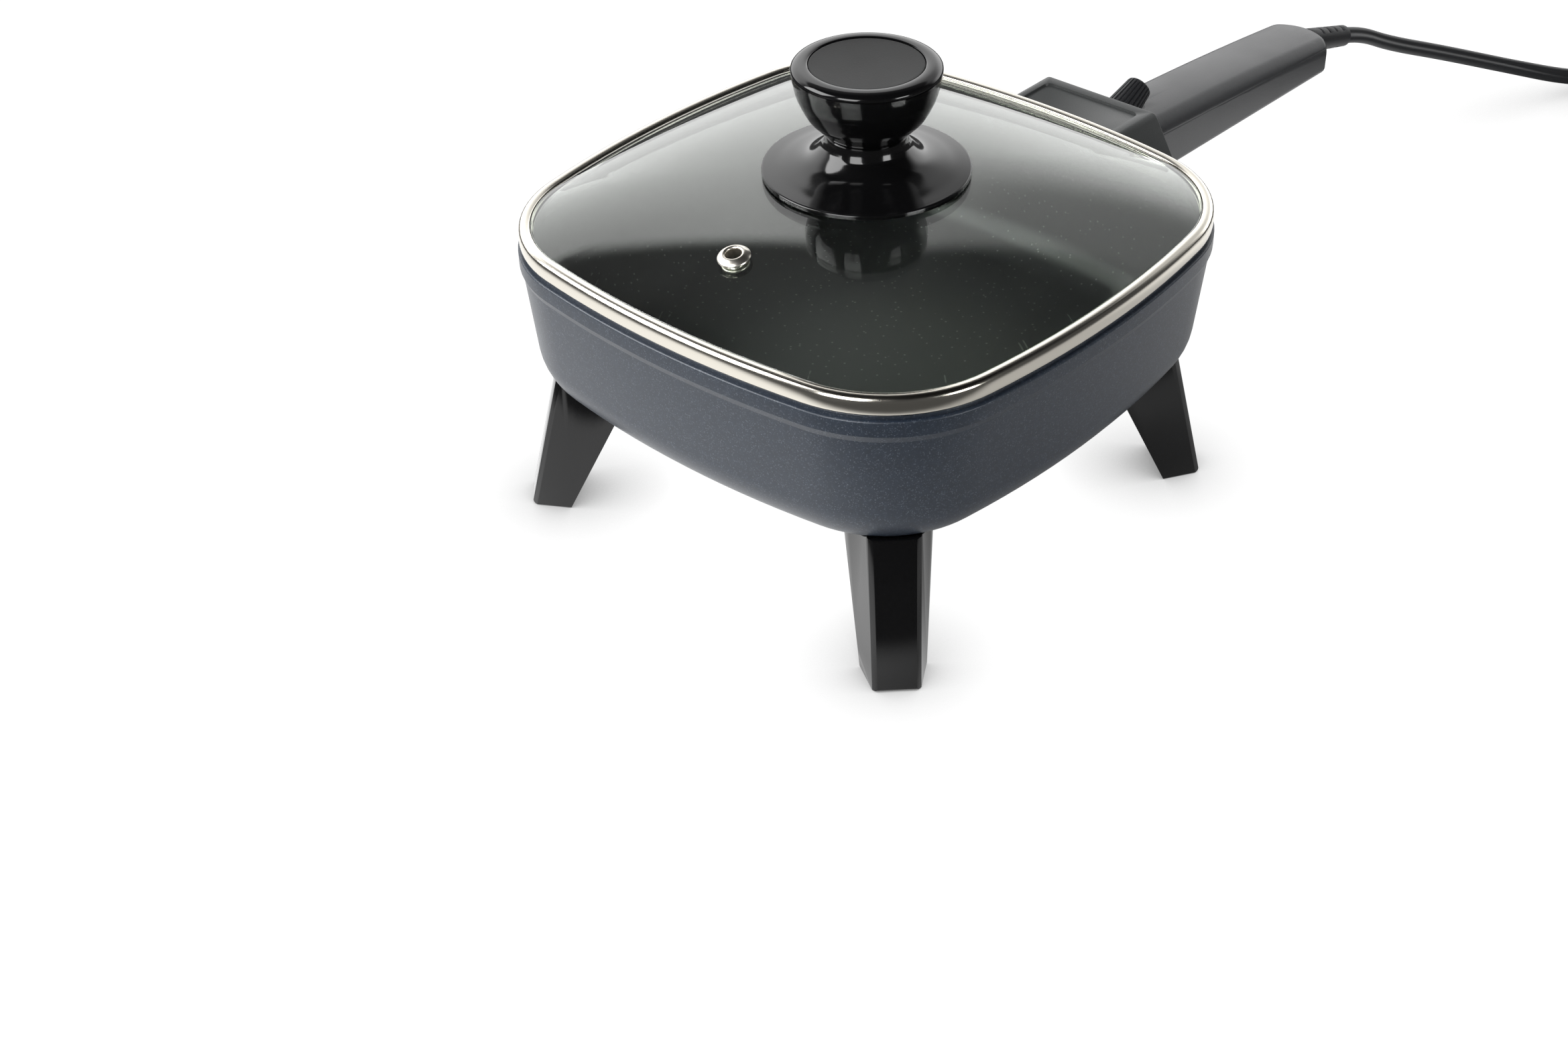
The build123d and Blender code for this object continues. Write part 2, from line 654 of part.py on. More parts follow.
class ProbeSkin(BasePartObject):
    """The probe's moulded form, moved in by an inset: grip, neck and socket nose."""

    def __init__(self, inset=0.0, rotation=(0, 0, 0), align=None, mode=Mode.ADD):
        end_bulge = GRIP_END - GRIP_SHOULDER
        half = GRIP_HALF - inset
        shoulder = (DIAL_TIP[0] - DIAL_LENGTH * cos(tilt), DIAL_TIP[1] - DIAL_LENGTH * sin(tilt))
        shoulder = (shoulder[0] - inset * cos(tilt), shoulder[1] - inset * sin(tilt))
        roof = 88 - inset
        climb = (roof - shoulder[1]) * tan(tilt)
        face = Plane.YZ
        with BuildPart() as skin:
            for x in (GRIP_START, 165, 205, GRIP_END + 2):
                with BuildSketch(face.offset(x)):
                    GripSection(x, inset)
            loft()
            with BuildSketch(Plane.XY.offset(50)):
                with BuildLine():
                    Polyline(
                        (GRIP_SHOULDER, half),
                        (GRIP_START, half + 1),
                        (GRIP_START, -half - 1),
                        (GRIP_SHOULDER, -half),
                    )
                    ThreePointArc(
                        (GRIP_SHOULDER, -half),
                        (GRIP_END - inset, 0),
                        (GRIP_SHOULDER, half),
                    )
                make_face()
            extrude(amount=40, mode=Mode.INTERSECT)
            if inset == 0:
                # the moulding is rounded over at the cord's end
                end = skin.faces().sort_by(Axis.X)[-1]
                fillet(end.edges().filter_by(Axis.Z, reverse=True), radius=GRIP_END_R)
            # neck behind the guard, cut square to the dial
            with BuildSketch(Plane.XZ):
                with BuildLine():
                    Polyline(
                        (NOSE_FRONT + inset, 56),
                        (NOSE_FRONT + inset, roof),
                        (shoulder[0] - climb, roof),
                        (shoulder[0] + 6 * sin(tilt), shoulder[1] - 6 * cos(tilt)),
                        (138 - inset, 64),
                        (138 - inset, 61),
                        (134 - inset, 56),
                        close=True,
                    )
                make_face()
            extrude(amount=half, both=True)
            # nose round the sockets
            with BuildSketch(Plane.XZ):
                with BuildLine():
                    Polyline(
                        (NOSE_FRONT + inset, 33 + inset),
                        (128 - inset / 2, 33 + inset),
                        (134 - inset, 39 + inset / 2),
                        (134 - inset, 64 - inset),
                        (NOSE_FRONT + inset, 64 - inset),
                        close=True,
                    )
                make_face()
            extrude(amount=NOSE_HALF - inset, both=True)
        super().__init__(skin.part, rotation, align, mode)


with BuildPart() as probe_holes:
    # dial well, bush for the dial's shaft
    with BuildSketch(DIAL_PLANE):
        Circle(7.3)
    extrude(amount=30)
    with BuildSketch(DIAL_PLANE):
        Circle(4.05)
    extrude(amount=-3)
    # cord outlet, contacts, sensor
    with BuildSketch(RELIEF_PLANE.offset(-7)):
        Circle(3.65)
    extrude(amount=10)
    with BuildSketch(across(NOSE_FRONT - 1)):
        with Locations((PIN_Y, HEATER_Z), (-PIN_Y, HEATER_Z)):
            Circle(3.35)
        with Locations((0, HEATER_Z)):
            Circle(SENSOR_R + 0.05)
    extrude(amount=4)

with BuildPart() as screw_posts:
    with BuildSketch(level(52)):
        with Locations(*SHELL_SCREWS):
            Circle(3)
    extrude(amount=32)
    with Locations((PAN_X, 0, 0)):
        ProbeSkin(1.0, mode=Mode.INTERSECT)

with BuildPart() as probe_upper_shell:
    with Locations((PAN_X, 0, 0)):
        ProbeSkin()
        ProbeSkin(PROBE_WALL, mode=Mode.SUBTRACT)
    add(screw_posts.part)
    add(probe_holes.part, mode=Mode.SUBTRACT)
    for (x, y), seam_height in zip(SHELL_SCREWS, seam_heights):
        with Locations((PAN_X + x, y, seam_height)):
            Cylinder(1.25, 4.4, mode=Mode.SUBTRACT)
    split(bisect_by=SEAM, keep=Keep.TOP)
save(probe_upper_shell, "probe_upper_shell")

with BuildPart() as probe_lower_shell:
    with Locations((PAN_X, 0, 0)):
        ProbeSkin()
        ProbeSkin(PROBE_WALL, mode=Mode.SUBTRACT)
    add(screw_posts.part)
    add(probe_holes.part, mode=Mode.SUBTRACT)
    with BuildSketch(level(50)):
        with Locations(*SHELL_SCREWS):
            Circle(1.6)
    extrude(amount=30, mode=Mode.SUBTRACT)
    with BuildSketch(level(50)):
        with Locations(*SHELL_SCREWS):
            Circle(2.45)
    extrude(amount=14, mode=Mode.SUBTRACT)
    split(bisect_by=SEAM, keep=Keep.BOTTOM)
save(probe_lower_shell, "probe_lower_shell")

with BuildPart() as shell_screws:
    for (x, y), seam_height in zip(SHELL_SCREWS, seam_heights):
        with BuildSketch(level(61.6)):
            with Locations((x, y)):
                Circle(2.35)
        extrude(amount=2.4)
        with BuildSketch(level(61.6)):
            with Locations((x, y)):
                Rectangle(3, 0.6)
                Rectangle(0.6, 3)
        extrude(amount=1, mode=Mode.SUBTRACT)
        with BuildSketch(level(64)):
            with Locations((x, y)):
                Circle(1.2)
        extrude(amount=seam_height + 2 - 64)
save(shell_screws, "shell_screws")

with BuildPart() as terminal_block:
    block_back = NOSE_FRONT + PROBE_WALL
    with BuildSketch(across(block_back)):
        with Locations((0, 40.8)):
            Rectangle(33, 11.2)
        with Locations((PIN_Y, HEATER_Z), (-PIN_Y, HEATER_Z)):
            Circle(3.35, mode=Mode.SUBTRACT)
        with Locations((0, HEATER_Z)):
            Circle(SENSOR_R + 0.05, mode=Mode.SUBTRACT)
    extrude(amount=13)
save(terminal_block, "terminal_block")

with BuildPart() as contact_sockets:
    with BuildSketch(across(NOSE_FRONT + 0.4)):
        with Locations((PIN_Y, HEATER_Z), (-PIN_Y, HEATER_Z)):
            Circle(3.3)
            Circle(PIN_R + RUNNING, mode=Mode.SUBTRACT)
    extrude(amount=17)
save(contact_sockets, "contact_sockets")

with BuildPart() as sensor_rod:
    with BuildSketch(across(58)):
        with Locations((0, HEATER_Z)):
            Circle(SENSOR_R)
    extrude(amount=64)
    fillet(sensor_rod.faces().sort_by(Axis.X)[0].edges(), radius=2.6)
save(sensor_rod, "sensor_rod")

with BuildPart() as thermostat_body:
    with BuildSketch(DIAL_PLANE.offset(-PROBE_WALL)):
        Rectangle(12.6, 20)
    extrude(amount=-9)
    with BuildSketch(DIAL_PLANE.offset(-PROBE_WALL)):
        Circle(4)
    extrude(amount=PROBE_WALL)
    with BuildSketch(DIAL_PLANE):
        Circle(SENSOR_R + RUNNING)
    extrude(amount=-9, mode=Mode.SUBTRACT)
save(thermostat_body, "thermostat_body")

with BuildPart() as dial_shaft:
    with BuildSketch(DIAL_PLANE.offset(-8.5)):
        Circle(SENSOR_R)
    extrude(amount=20)
save(dial_shaft, "dial_shaft")

with BuildPart() as temperature_dial:
    with BuildSketch(beside(DIAL_PLANE)):
        with BuildLine():
            Polyline((0, 11.6), (SENSOR_R + 0.02, 11.6), (SENSOR_R + 0.02, 0.5), (6.5, 0.5))
            Polyline((6.5, 0.5), (6.5, 1.2), (4.7, 16.5), (4.3, 16.9))
            cap_arc(4.3, 16.9, 17.5)
            Line((0, 17.5), (0, 11.6))
        make_face()
    revolve(axis=Axis(DIAL_PLANE.origin, DIAL_PLANE.z_dir))
    # flutes run down the taper
    lean = degrees(atan2(6.5 - 4.7, 15.3))
    with Locations(DIAL_PLANE.offset(9)):
        with PolarLocations(5.95, 22):
            Cylinder(0.42, 22, rotation=(0, -lean, 0), mode=Mode.SUBTRACT)
save(temperature_dial, "temperature_dial")

# ==== Cord: relief, free run, coil, tie, tail, plug =================================
with BuildPart() as strain_relief:
    # collar that fills the shells' section, neck through the end wall, tapering sleeve
    with BuildSketch(RELIEF_PLANE.offset(-7)):
        Rectangle(30, 30)
    extrude(amount=2.4)
    with Locations((PAN_X, 0, 0)):
        ProbeSkin(PROBE_WALL + 0.1, mode=Mode.INTERSECT)
    with BuildSketch(beside(RELIEF_PLANE)):
        with BuildLine():
            Polyline((0, -5), (3.6, -5), (3.6, 1.3), (4.6, 1.3))
            Polyline((4.6, 1.3), (4.1, RELIEF_LENGTH - 0.8), (3.6, RELIEF_LENGTH))
            Polyline((3.6, RELIEF_LENGTH), (0, RELIEF_LENGTH), (0, -5))
        make_face()
    revolve(axis=Axis(RELIEF_PLANE.origin, RELIEF_PLANE.z_dir))
    # bending slots, cut from two sides, each row staggered on the last
    for row in range(4):
        for sign in (1, -1):
            with Locations(RELIEF_PLANE.offset(6.5 + 4.6 * row + 1.1 * sign)):
                with Locations((0, sign * 5.6, 0)):
                    Box(12, 5.2, 1.5, mode=Mode.SUBTRACT)
save(strain_relief, "strain_relief")

relief_end = relief_foot + relief_axis * RELIEF_LENGTH
CORD_ROUTE = [
    relief_end,
    relief_end + relief_axis * 11,
    Vector(PAN_X + 314.3, -9.0, 46.8),
    Vector(PAN_X + 342.4, -18.7, 35.6),
    Vector(PAN_X + 376.5, -33.3, 21.3),
    Vector(PAN_X + 407.1, -47.2, 8.9),
    Vector(PAN_X + 427.0, -55.2, 4.4),
    Vector(PAN_X + 447.0, -61.9, 4.05),
]
coil_x, coil_y = PAN_X + COIL_CENTRE[0], COIL_CENTRE[1]
TAIL_ROUTE = [
    Vector(coil_x + 34.2, coil_y - 12.0, 9.4),
    Vector(coil_x + 29.5, coil_y - 26.0, 8.0),
    Vector(coil_x + 22.5, coil_y - 38.5, 7.0),
    Vector(coil_x + 13.5, coil_y - 49.5, 7.0),
]


def bends(route):
    """As large an arc at each corner of a route as its two runs allow."""
    radii = []
    for before, corner, after in zip(route, route[1:], route[2:]):
        run = min((corner - before).length, (after - corner).length)
        turn = (corner - before).get_angle(after - corner)
        radii.append(0.45 * run / tan(radians(turn) / 2))
    return radii


for name, route in (("cord_run", CORD_ROUTE), ("cord_tail", TAIL_ROUTE)):
    radii = bends(route)
    with BuildLine() as cord_line:
        FilletPolyline(*route, radius=radii)
    cord_wire = cord_line.wires()[0]
    with BuildPart() as cord:
        with BuildSketch(Plane(route[0], z_dir=cord_wire % 0)):
            Circle(CORD_D / 2)
        sweep(path=cord_wire)
    save(cord, name)
    print("   bend radii", [round(r) for r in radii], "length", round(cord_wire.length, 1))
    print("   section x length", round(pi * CORD_D**2 / 4 * cord_wire.length), "mm3")

COIL_BASE = Plane((coil_x, coil_y, 0))
with BuildPart() as cord_coil:
    with BuildSketch(beside(COIL_BASE)):
        with Locations((COIL_MEAN, (COIL_LOW + COIL_HIGH) / 2)):
            RectangleRounded(COIL_WIDTH, COIL_HIGH - COIL_LOW, 4)
    revolve(axis=Axis(COIL_BASE.origin, (0, 0, 1)))
save(cord_coil, "cord_coil")

tie_turn = radians(-150)
tie_out = Vector(cos(tie_turn), sin(tie_turn), 0)
tie_at = COIL_BASE.origin + tie_out * COIL_MEAN
with BuildPart() as cord_tie:
    with BuildSketch(Plane(tie_at, x_dir=tie_out, z_dir=tie_out.cross(Vector(0, 0, 1)))):
        with Locations((0, (COIL_LOW + COIL_HIGH) / 2)):
            RectangleRounded(COIL_WIDTH + 1.8, COIL_HIGH + 0.8, 4.6)
            RectangleRounded(COIL_WIDTH + 0.3, COIL_HIGH - COIL_LOW, 4, mode=Mode.SUBTRACT)
    extrude(amount=3, both=True)
save(cord_tie, "cord_tie")

tail_end = TAIL_ROUTE[-1]
plug_heading = tail_end - TAIL_ROUTE[-2]
plug_heading = Vector(plug_heading.X, plug_heading.Y, 0).normalized()
plug_side = plug_heading.cross(Vector(0, 0, 1))
PLUG_BACK = Plane(tail_end, x_dir=plug_side, z_dir=plug_heading)

with BuildPart() as plug_body:
    # moulded taper, then the square-shouldered grip
    with BuildSketch(PLUG_BACK):
        RectangleRounded(9, 8, 3.5)
    with BuildSketch(PLUG_BACK.offset(12)):
        RectangleRounded(17, 12, 4)
    loft()
    with BuildSketch(PLUG_BACK.offset(12)):
        RectangleRounded(17, 12, 4)
    with BuildSketch(PLUG_BACK.offset(31)):
        RectangleRounded(25, 13.8, 4)
    loft()
    fillet(plug_body.faces().sort_by(Axis(tail_end, plug_heading))[-1].edges(), radius=1)
save(plug_body, "plug_body")

with BuildPart() as plug_blades:
    with BuildSketch(PLUG_BACK.offset(31)):
        with Locations((6.35, 0), (-6.35, 0)):
            Rectangle(1.5, 6.35)
    extrude(amount=17)
    tips = plug_blades.faces().sort_by(Axis(tail_end, plug_heading))[-2:]
    chamfer(tips.edges(), length=0.5)
save(plug_blades, "plug_blades")
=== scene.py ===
# %% [markdown]
# # A small electric skillet
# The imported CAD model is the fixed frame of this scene. Every solid in it is in the
# right place and has the right size, but a CAD solid has hard edges and no finish.
# This lesson goes over the skillet piece by piece: some solids only get a material,
# some get softened edges, and the large visible ones are made again from the rules
# that shaped the real part. All sizes are millimetres from the pan's own axis, and one
# helper turns them to metres in the model's frame.

import math

import bmesh
import bpy
import numpy as np
from mathutils import Matrix, Vector


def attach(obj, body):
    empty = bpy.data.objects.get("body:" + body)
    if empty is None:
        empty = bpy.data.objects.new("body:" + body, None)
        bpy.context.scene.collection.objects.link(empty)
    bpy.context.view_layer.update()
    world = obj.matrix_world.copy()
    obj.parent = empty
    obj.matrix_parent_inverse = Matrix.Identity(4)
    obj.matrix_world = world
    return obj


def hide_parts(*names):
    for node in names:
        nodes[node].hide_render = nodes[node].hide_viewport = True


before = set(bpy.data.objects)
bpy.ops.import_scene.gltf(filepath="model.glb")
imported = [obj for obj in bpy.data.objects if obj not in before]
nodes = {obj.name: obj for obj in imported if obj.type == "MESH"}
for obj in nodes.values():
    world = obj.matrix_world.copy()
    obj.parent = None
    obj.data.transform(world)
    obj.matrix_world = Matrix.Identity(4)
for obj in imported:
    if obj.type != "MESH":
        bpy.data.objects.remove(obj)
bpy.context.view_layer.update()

# %% Millimetres from the pan's axis to metres in the frame
MM = 0.001
PAN_X = -84.25


def at(x, y, z):
    return Vector(((x + PAN_X) * MM, y * MM, z * MM))


print("pan axis at", at(0, 0, 0)[:])

# %% [markdown]
# ## Camera
# The camera stands close, looks down at about 37 degrees across one corner of the pan,
# and has a normal lens, so the near leg looks a little larger than the others. It is
# built from its three axes: where it looks, its right, its top.

# %% Camera
TURN, DOWN, ROLL = (math.radians(a) for a in (42.662, 36.631, -1.393))
CAMERA_AT = (-488.69, -412.31, 455.05)
SENSOR_WIDTH, LENS = 36, 53.54
look = Vector((math.cos(TURN) * math.cos(DOWN), math.sin(TURN) * math.cos(DOWN), -math.sin(DOWN)))
level_right = look.cross(Vector((0, 0, 1))).normalized()
level_top = level_right.cross(look)
right = math.cos(ROLL) * level_right + math.sin(ROLL) * level_top
top = -math.sin(ROLL) * level_right + math.cos(ROLL) * level_top
camera = bpy.data.objects.new("camera", bpy.data.cameras.new("camera"))
bpy.context.scene.collection.objects.link(camera)
facing = Matrix((right, top, -look)).transposed().to_4x4()
camera.matrix_world = Matrix.Translation(at(*CAMERA_AT)) @ facing
camera.data.sensor_width = SENSOR_WIDTH
camera.data.lens = LENS
camera.data.clip_start = 0.01
bpy.context.scene.camera = camera
print("camera at", [round(v, 3) for v in camera.location])

# %% [markdown]
# ## Colours and nodes
# Colours are written as a maker's chart has them, in sRGB hex. Blender's shaders want
# linear values, so one function turns them. Another adds a node, sets it and links it,
# and short ones add the nodes that nearly every finish needs.

# %% Colour and node helpers
def colour(code):
    parts = [int(code[i : i + 2], 16) / 255 for i in (1, 3, 5)]
    linear = [c / 12.92 if c < 0.04045 else ((c + 0.055) / 1.055) ** 2.4 for c in parts]
    return (*linear, 1.0)


def add_node(tree, kind, inputs=(), **settings):
    """Adds a node. Inputs are (socket, value) pairs; a value that is a socket is linked."""
    made = tree.nodes.new(kind)
    for name, value in settings.items():
        setattr(made, name, value)
    for socket, value in dict(inputs).items():
        if isinstance(value, bpy.types.NodeSocket):
            tree.links.new(value, made.inputs[socket])
        else:
            made.inputs[socket].default_value = value
    return made


def new_material(name, **sockets):
    """A Principled material with plain values on its own sockets."""
    material = bpy.data.materials.new(name)
    material.use_nodes = True
    shader = material.node_tree.nodes["Principled BSDF"]
    for socket, value in sockets.items():
        shader.inputs[socket.replace("_", " ")].default_value = value
    return material, material.node_tree, shader


def feed(shader, **outputs):
    """Links outputs of nodes to a shader's sockets."""
    for socket, output in outputs.items():
        shader.id_data.links.new(output, shader.inputs[socket.replace("_", " ")])


def place_on(tree):
    return add_node(tree, "ShaderNodeTexCoord").outputs["Object"]


def noise(tree, vector, scale, detail):
    pairs = [("Vector", vector), ("Scale", scale), ("Detail", detail)]
    return add_node(tree, "ShaderNodeTexNoise", pairs).outputs["Fac"]


def mapped(tree, value, start, end, low, high, **settings):
    """A value that goes from start to end, turned into one that goes from low to high."""
    pairs = [("Value", value), ("From Min", start), ("From Max", end), ("To Min", low), ("To Max", high)]
    return add_node(tree, "ShaderNodeMapRange", pairs, **settings).outputs["Result"]


def blend(tree, factor, first, second):
    pairs = [("Factor", factor), ("A", first), ("B", second)]
    return add_node(tree, "ShaderNodeMix", pairs, data_type="RGBA").outputs["Result"]


def bump(tree, height, strength):
    """A relief of 0.2 mm at full strength."""
    pairs = [("Height", height), ("Strength", strength), ("Distance", 0.2 * MM)]
    return add_node(tree, "ShaderNodeBump", pairs).outputs["Normal"]


print("white is", colour("#ffffff"))

# %% [markdown]
# ## Finish: satin enamel with a metal fleck, on the outside of the pan
# The die-cast aluminium pan is sprayed blue-grey outside. Flakes of about 0.3 mm lie in
# the coat, so it sparkles a little and its highlights are wide and soft. Voronoi cells
# stand for the flakes.

# %% Fleck enamel
FLAKE = 0.32
enamel, tree, shader = new_material(
    "Satin fleck enamel", Roughness=0.42, Coat_Weight=0.25, Coat_Roughness=0.3
)
place = place_on(tree)
flakes = add_node(tree, "ShaderNodeTexVoronoi", [("Vector", place), ("Scale", 1 / (FLAKE * MM))])
spark = mapped(tree, flakes.outputs["Color"], 0.72, 1.0, 0.0, 0.55)
mottle = noise(tree, place, 420.0, 3.0)
base = blend(tree, mottle, colour("#1d2632"), colour("#273343"))
feed(shader, Base_Color=blend(tree, spark, base, colour("#6f7884")), Normal=bump(tree, mottle, 0.12))
print(enamel.name)

# %% [markdown]
# ## Finish: sprayed non-stick coat, in the well
# A fluoropolymer coat is dark grey, with a satin gloss, and has a few pale specks under
# a millimetre across. Each speck is the middle of a Voronoi cell of 2.5 mm.

# %% Non-stick coat
SPECK_CELL = 2.5
nonstick, tree, shader = new_material("Sprayed non-stick coat", Roughness=0.4, Specular_IOR_Level=0.4)
place = place_on(tree)
specks = add_node(tree, "ShaderNodeTexVoronoi", [("Vector", place), ("Scale", 1 / (SPECK_CELL * MM))])
near = mapped(tree, specks.outputs["Distance"], 0.11, 0.16, 1.0, 0.0)
coat = blend(tree, near, colour("#3e3f40"), colour("#6c706e"))
feed(shader, Base_Color=coat, Normal=bump(tree, noise(tree, place, 900.0, 2.0), 0.05))
print(nonstick.name)

# %% [markdown]
# ## Finishes: polished steel, tempered glass
# The rim is stainless steel, rolled and polished along its length, and a little warm.
# Noise that is stretched along the level makes its gloss vary in fine level streaks.
# The glass is soda-lime, tempered, with a faint green in its depth.

# %% Steel and glass
steel, tree, shader = new_material(
    "Polished stainless steel", Metallic=1.0, Roughness=0.2, Base_Color=colour("#dfdacf")
)
streaks = add_node(
    tree, "ShaderNodeMapping", [("Vector", place_on(tree)), ("Scale", (60.0, 60.0, 1600.0))]
).outputs["Vector"]
feed(shader, Roughness=mapped(tree, noise(tree, streaks, 1.0, 2.0), 0.0, 1.0, 0.13, 0.21))

glass = new_material(
    "Tempered soda-lime glass",
    Base_Color=colour("#eef4ee"), Roughness=0.0, Transmission_Weight=1.0, IOR=1.52,
)[0]
satin_steel = new_material(
    "Tumbled stainless steel", Metallic=1.0, Roughness=0.3, Base_Color=colour("#e9e4da")
)[0]
print(steel.name, satin_steel.name, glass.name)

# %% [markdown]
# ## Finishes: moulded plastics and rubber
# The knob and the legs are phenolic, moulded against polished steel, so they are glossy
# and nearly black. The guard and the probe's shells come from a textured mould, so
# their gloss is broken up by a fine grain. The cord is PVC, a shade softer and greyer.

# %% Plastics
def moulded(name, code, roughness, grain_mm, depth):
    """A moulded plastic: flat colour with slight mottling, and grain from the mould."""
    material, tree, shader = new_material(name, Roughness=roughness)
    place = place_on(tree)
    grain = noise(tree, place, 1 / (grain_mm * MM), 3.0)
    wear = mapped(tree, noise(tree, place, 60.0, 2.0), 0.0, 1.0, roughness - 0.04, roughness + 0.05)
    *rgb, alpha = colour(code)
    dark, light = ((*(c * share for c in rgb), alpha) for share in (0.85, 1.15))
    tint = blend(tree, grain, dark, light)
    feed(shader, Base_Color=tint, Roughness=wear, Normal=bump(tree, grain, depth))
    return material


phenolic = moulded("Gloss phenolic", "#0c0c0d", 0.1, 1.5, 0.02)
disc_plastic = moulded("Matt phenolic", "#1b1c1c", 0.6, 0.35, 0.25)
guard_plastic = moulded("Satin phenolic", "#404242", 0.38, 0.5, 0.12)
shell_plastic = moulded("Satin nylon", "#3a3b3d", 0.36, 0.6, 0.1)
dial_plastic = moulded("Matt nylon", "#232427", 0.5, 0.4, 0.15)
cord_vinyl = moulded("Cord vinyl", "#222326", 0.45, 0.8, 0.1)
insulator = moulded("Moulded insulator", "#5a4630", 0.55, 0.5, 0.2)
washer_rubber = moulded("Grey silicone", "#8a8a88", 0.6, 0.8, 0.1)
print("seven plastics and a rubber")

# %% Plain metals of the small parts
plated = new_material("Nickel plate", Metallic=1.0, Roughness=0.22, Base_Color=colour("#cfcdc8"))[0]
sheath = new_material("Heater sheath steel", Metallic=1.0, Roughness=0.5, Base_Color=colour("#7d766e"))[0]
brass = new_material("Brass", Metallic=1.0, Roughness=0.3, Base_Color=colour("#c9a45c"))[0]
print(plated.name, sheath.name, brass.name)

# %% [markdown]
# ## CAD nodes that keep their shape
# Small and inner parts are right as they are. Each only gets a finish.

# %% Finishes on kept nodes
KEPT = {
    sheath: ["heating_element"],
    plated: ["terminal_pins", "sensor_sleeve", "sensor_rod", "leg_screws", "guard_screws", "knob_screw",
             "shell_screws", "dial_shaft"],
    brass: ["contact_sockets"],
    insulator: ["terminal_block", "thermostat_body"],
    washer_rubber: ["knob_washer"],
}


def finish_with(obj, *materials):
    obj.data.materials.clear()
    for material in materials:
        obj.data.materials.append(material)


for material, names in KEPT.items():
    for name in names:
        finish_with(nodes[name], material)
print(sum(map(len, KEPT.values())), "nodes keep their shape")

# %% [markdown]
# ## Softened copies
# A moulded part has no knife edges: the mould's corners round them to about half a
# millimetre, and that thin round catches the light. A copy of the CAD mesh is merged,
# its flat areas are joined to whole faces, and its sharp edges get a small bevel.

# %% Softening helper
def show(name, mesh, body, stands_for=()):
    """Puts a finished mesh in the scene, riding on a body and standing for CAD nodes."""
    obj = bpy.data.objects.new(name, mesh)
    bpy.context.scene.collection.objects.link(obj)
    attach(obj, body)
    if stands_for:
        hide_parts(*stands_for)
    return obj


def smooth_by_angle(mesh, degrees=32):
    for face in mesh.polygons:
        face.use_smooth = True
    mesh.set_sharp_from_angle(angle=math.radians(degrees))


SAME_POINT, FLAT, SHARP = 0.002 * MM, math.radians(0.6), math.radians(28)


def softened(node, width):
    """A copy of a CAD node's mesh with its sharp edges bevelled by a width in mm."""
    shape = bmesh.new()
    shape.from_mesh(nodes[node].data)
    bmesh.ops.remove_doubles(shape, verts=shape.verts, dist=SAME_POINT)
    bmesh.ops.dissolve_limit(shape, angle_limit=FLAT, verts=shape.verts, edges=shape.edges)
    edges = [e for e in shape.edges if len(e.link_faces) == 2 and e.calc_face_angle() > SHARP]
    bmesh.ops.bevel(
        shape, geom=edges, offset=width * MM, segments=2, profile=0.5, affect="EDGES", clamp_overlap=True
    )
    mesh = bpy.data.meshes.new(node)
    shape.to_mesh(mesh)
    shape.free()
    smooth_by_angle(mesh)
    return mesh


SOFT = {
    "socket_guard": (0.3, "probe_guard", "base", "guard_plastic", guard_plastic),
    "plug_blades": (0.2, "plug_pins", "probe", "brass_contact", brass),
    "cord_tie": (0.3, "tie", "probe", "tie_black", dial_plastic),
}
made = {}
for node, (width, name, body, slot, material) in SOFT.items():
    made[node] = show(name, softened(node, width), body, [node])
    finish_with(made[node], material)
print(sorted(made), "softened")

# %% [markdown]
# ## The outline rule
# Pan, lid glass and rim share one plan: four bowed sides joined by four round corners.
# Every point of it is an arc's centre plus a radius along the outward direction, so the
# outward angle alone says where the point is, and an inset only shortens the radius.

# %% Outline
HALF, SIDE_R, CORNER_R = 93.0, 336.0, 45.0
BOW = SIDE_R - HALF
CORNER_AT = (-2 * BOW + math.sqrt(4 * BOW**2 - 8 * (BOW**2 - (SIDE_R - CORNER_R) ** 2))) / 4
CORNER_TURN = math.atan2(CORNER_AT, CORNER_AT + BOW)
SIDE_STEPS, CORNER_STEPS = 14, 16


def outline(inset):
    """Points (x, y) round the plan at an inset, and their outward directions."""
    points, outs = [], []
    for quarter in range(4):
        turn = quarter * math.pi / 2
        spin = np.array(((math.cos(turn), -math.sin(turn)), (math.sin(turn), math.cos(turn))))
        spans = (
            (-BOW, 0, SIDE_R, -CORNER_TURN, CORNER_TURN, SIDE_STEPS),
            (CORNER_AT, CORNER_AT, CORNER_R, CORNER_TURN, math.pi / 2 - CORNER_TURN, CORNER_STEPS),
        )
        for cx, cy, radius, start, end, steps in spans:
            for i in range(steps):
                angle = start + (end - start) * i / steps
                out = np.array((math.cos(angle), math.sin(angle)))
                point = np.array((cx, cy)) + (radius - inset) * out
                points.append(spin @ point)
                outs.append(spin @ out)
    return np.array(points), np.array(outs)


print("round the plan:", len(outline(0)[0]), "points")

# %% Rows of points to a skin
def skin(rows, closed=True, loop=False):
    """Quads between rows of points (mm). Rows close on themselves; loop joins last to first."""
    shape = bmesh.new()
    grid = [[shape.verts.new(at(*p)) for p in row] for row in rows]
    pairs = list(zip(grid, grid[1:])) + ([(grid[-1], grid[0])] if loop else [])
    for low, high in pairs:
        count = len(low)
        for i in range(count if closed else count - 1):
            j = (i + 1) % count
            shape.faces.new((low[i], low[j], high[j], high[i]))
    return shape


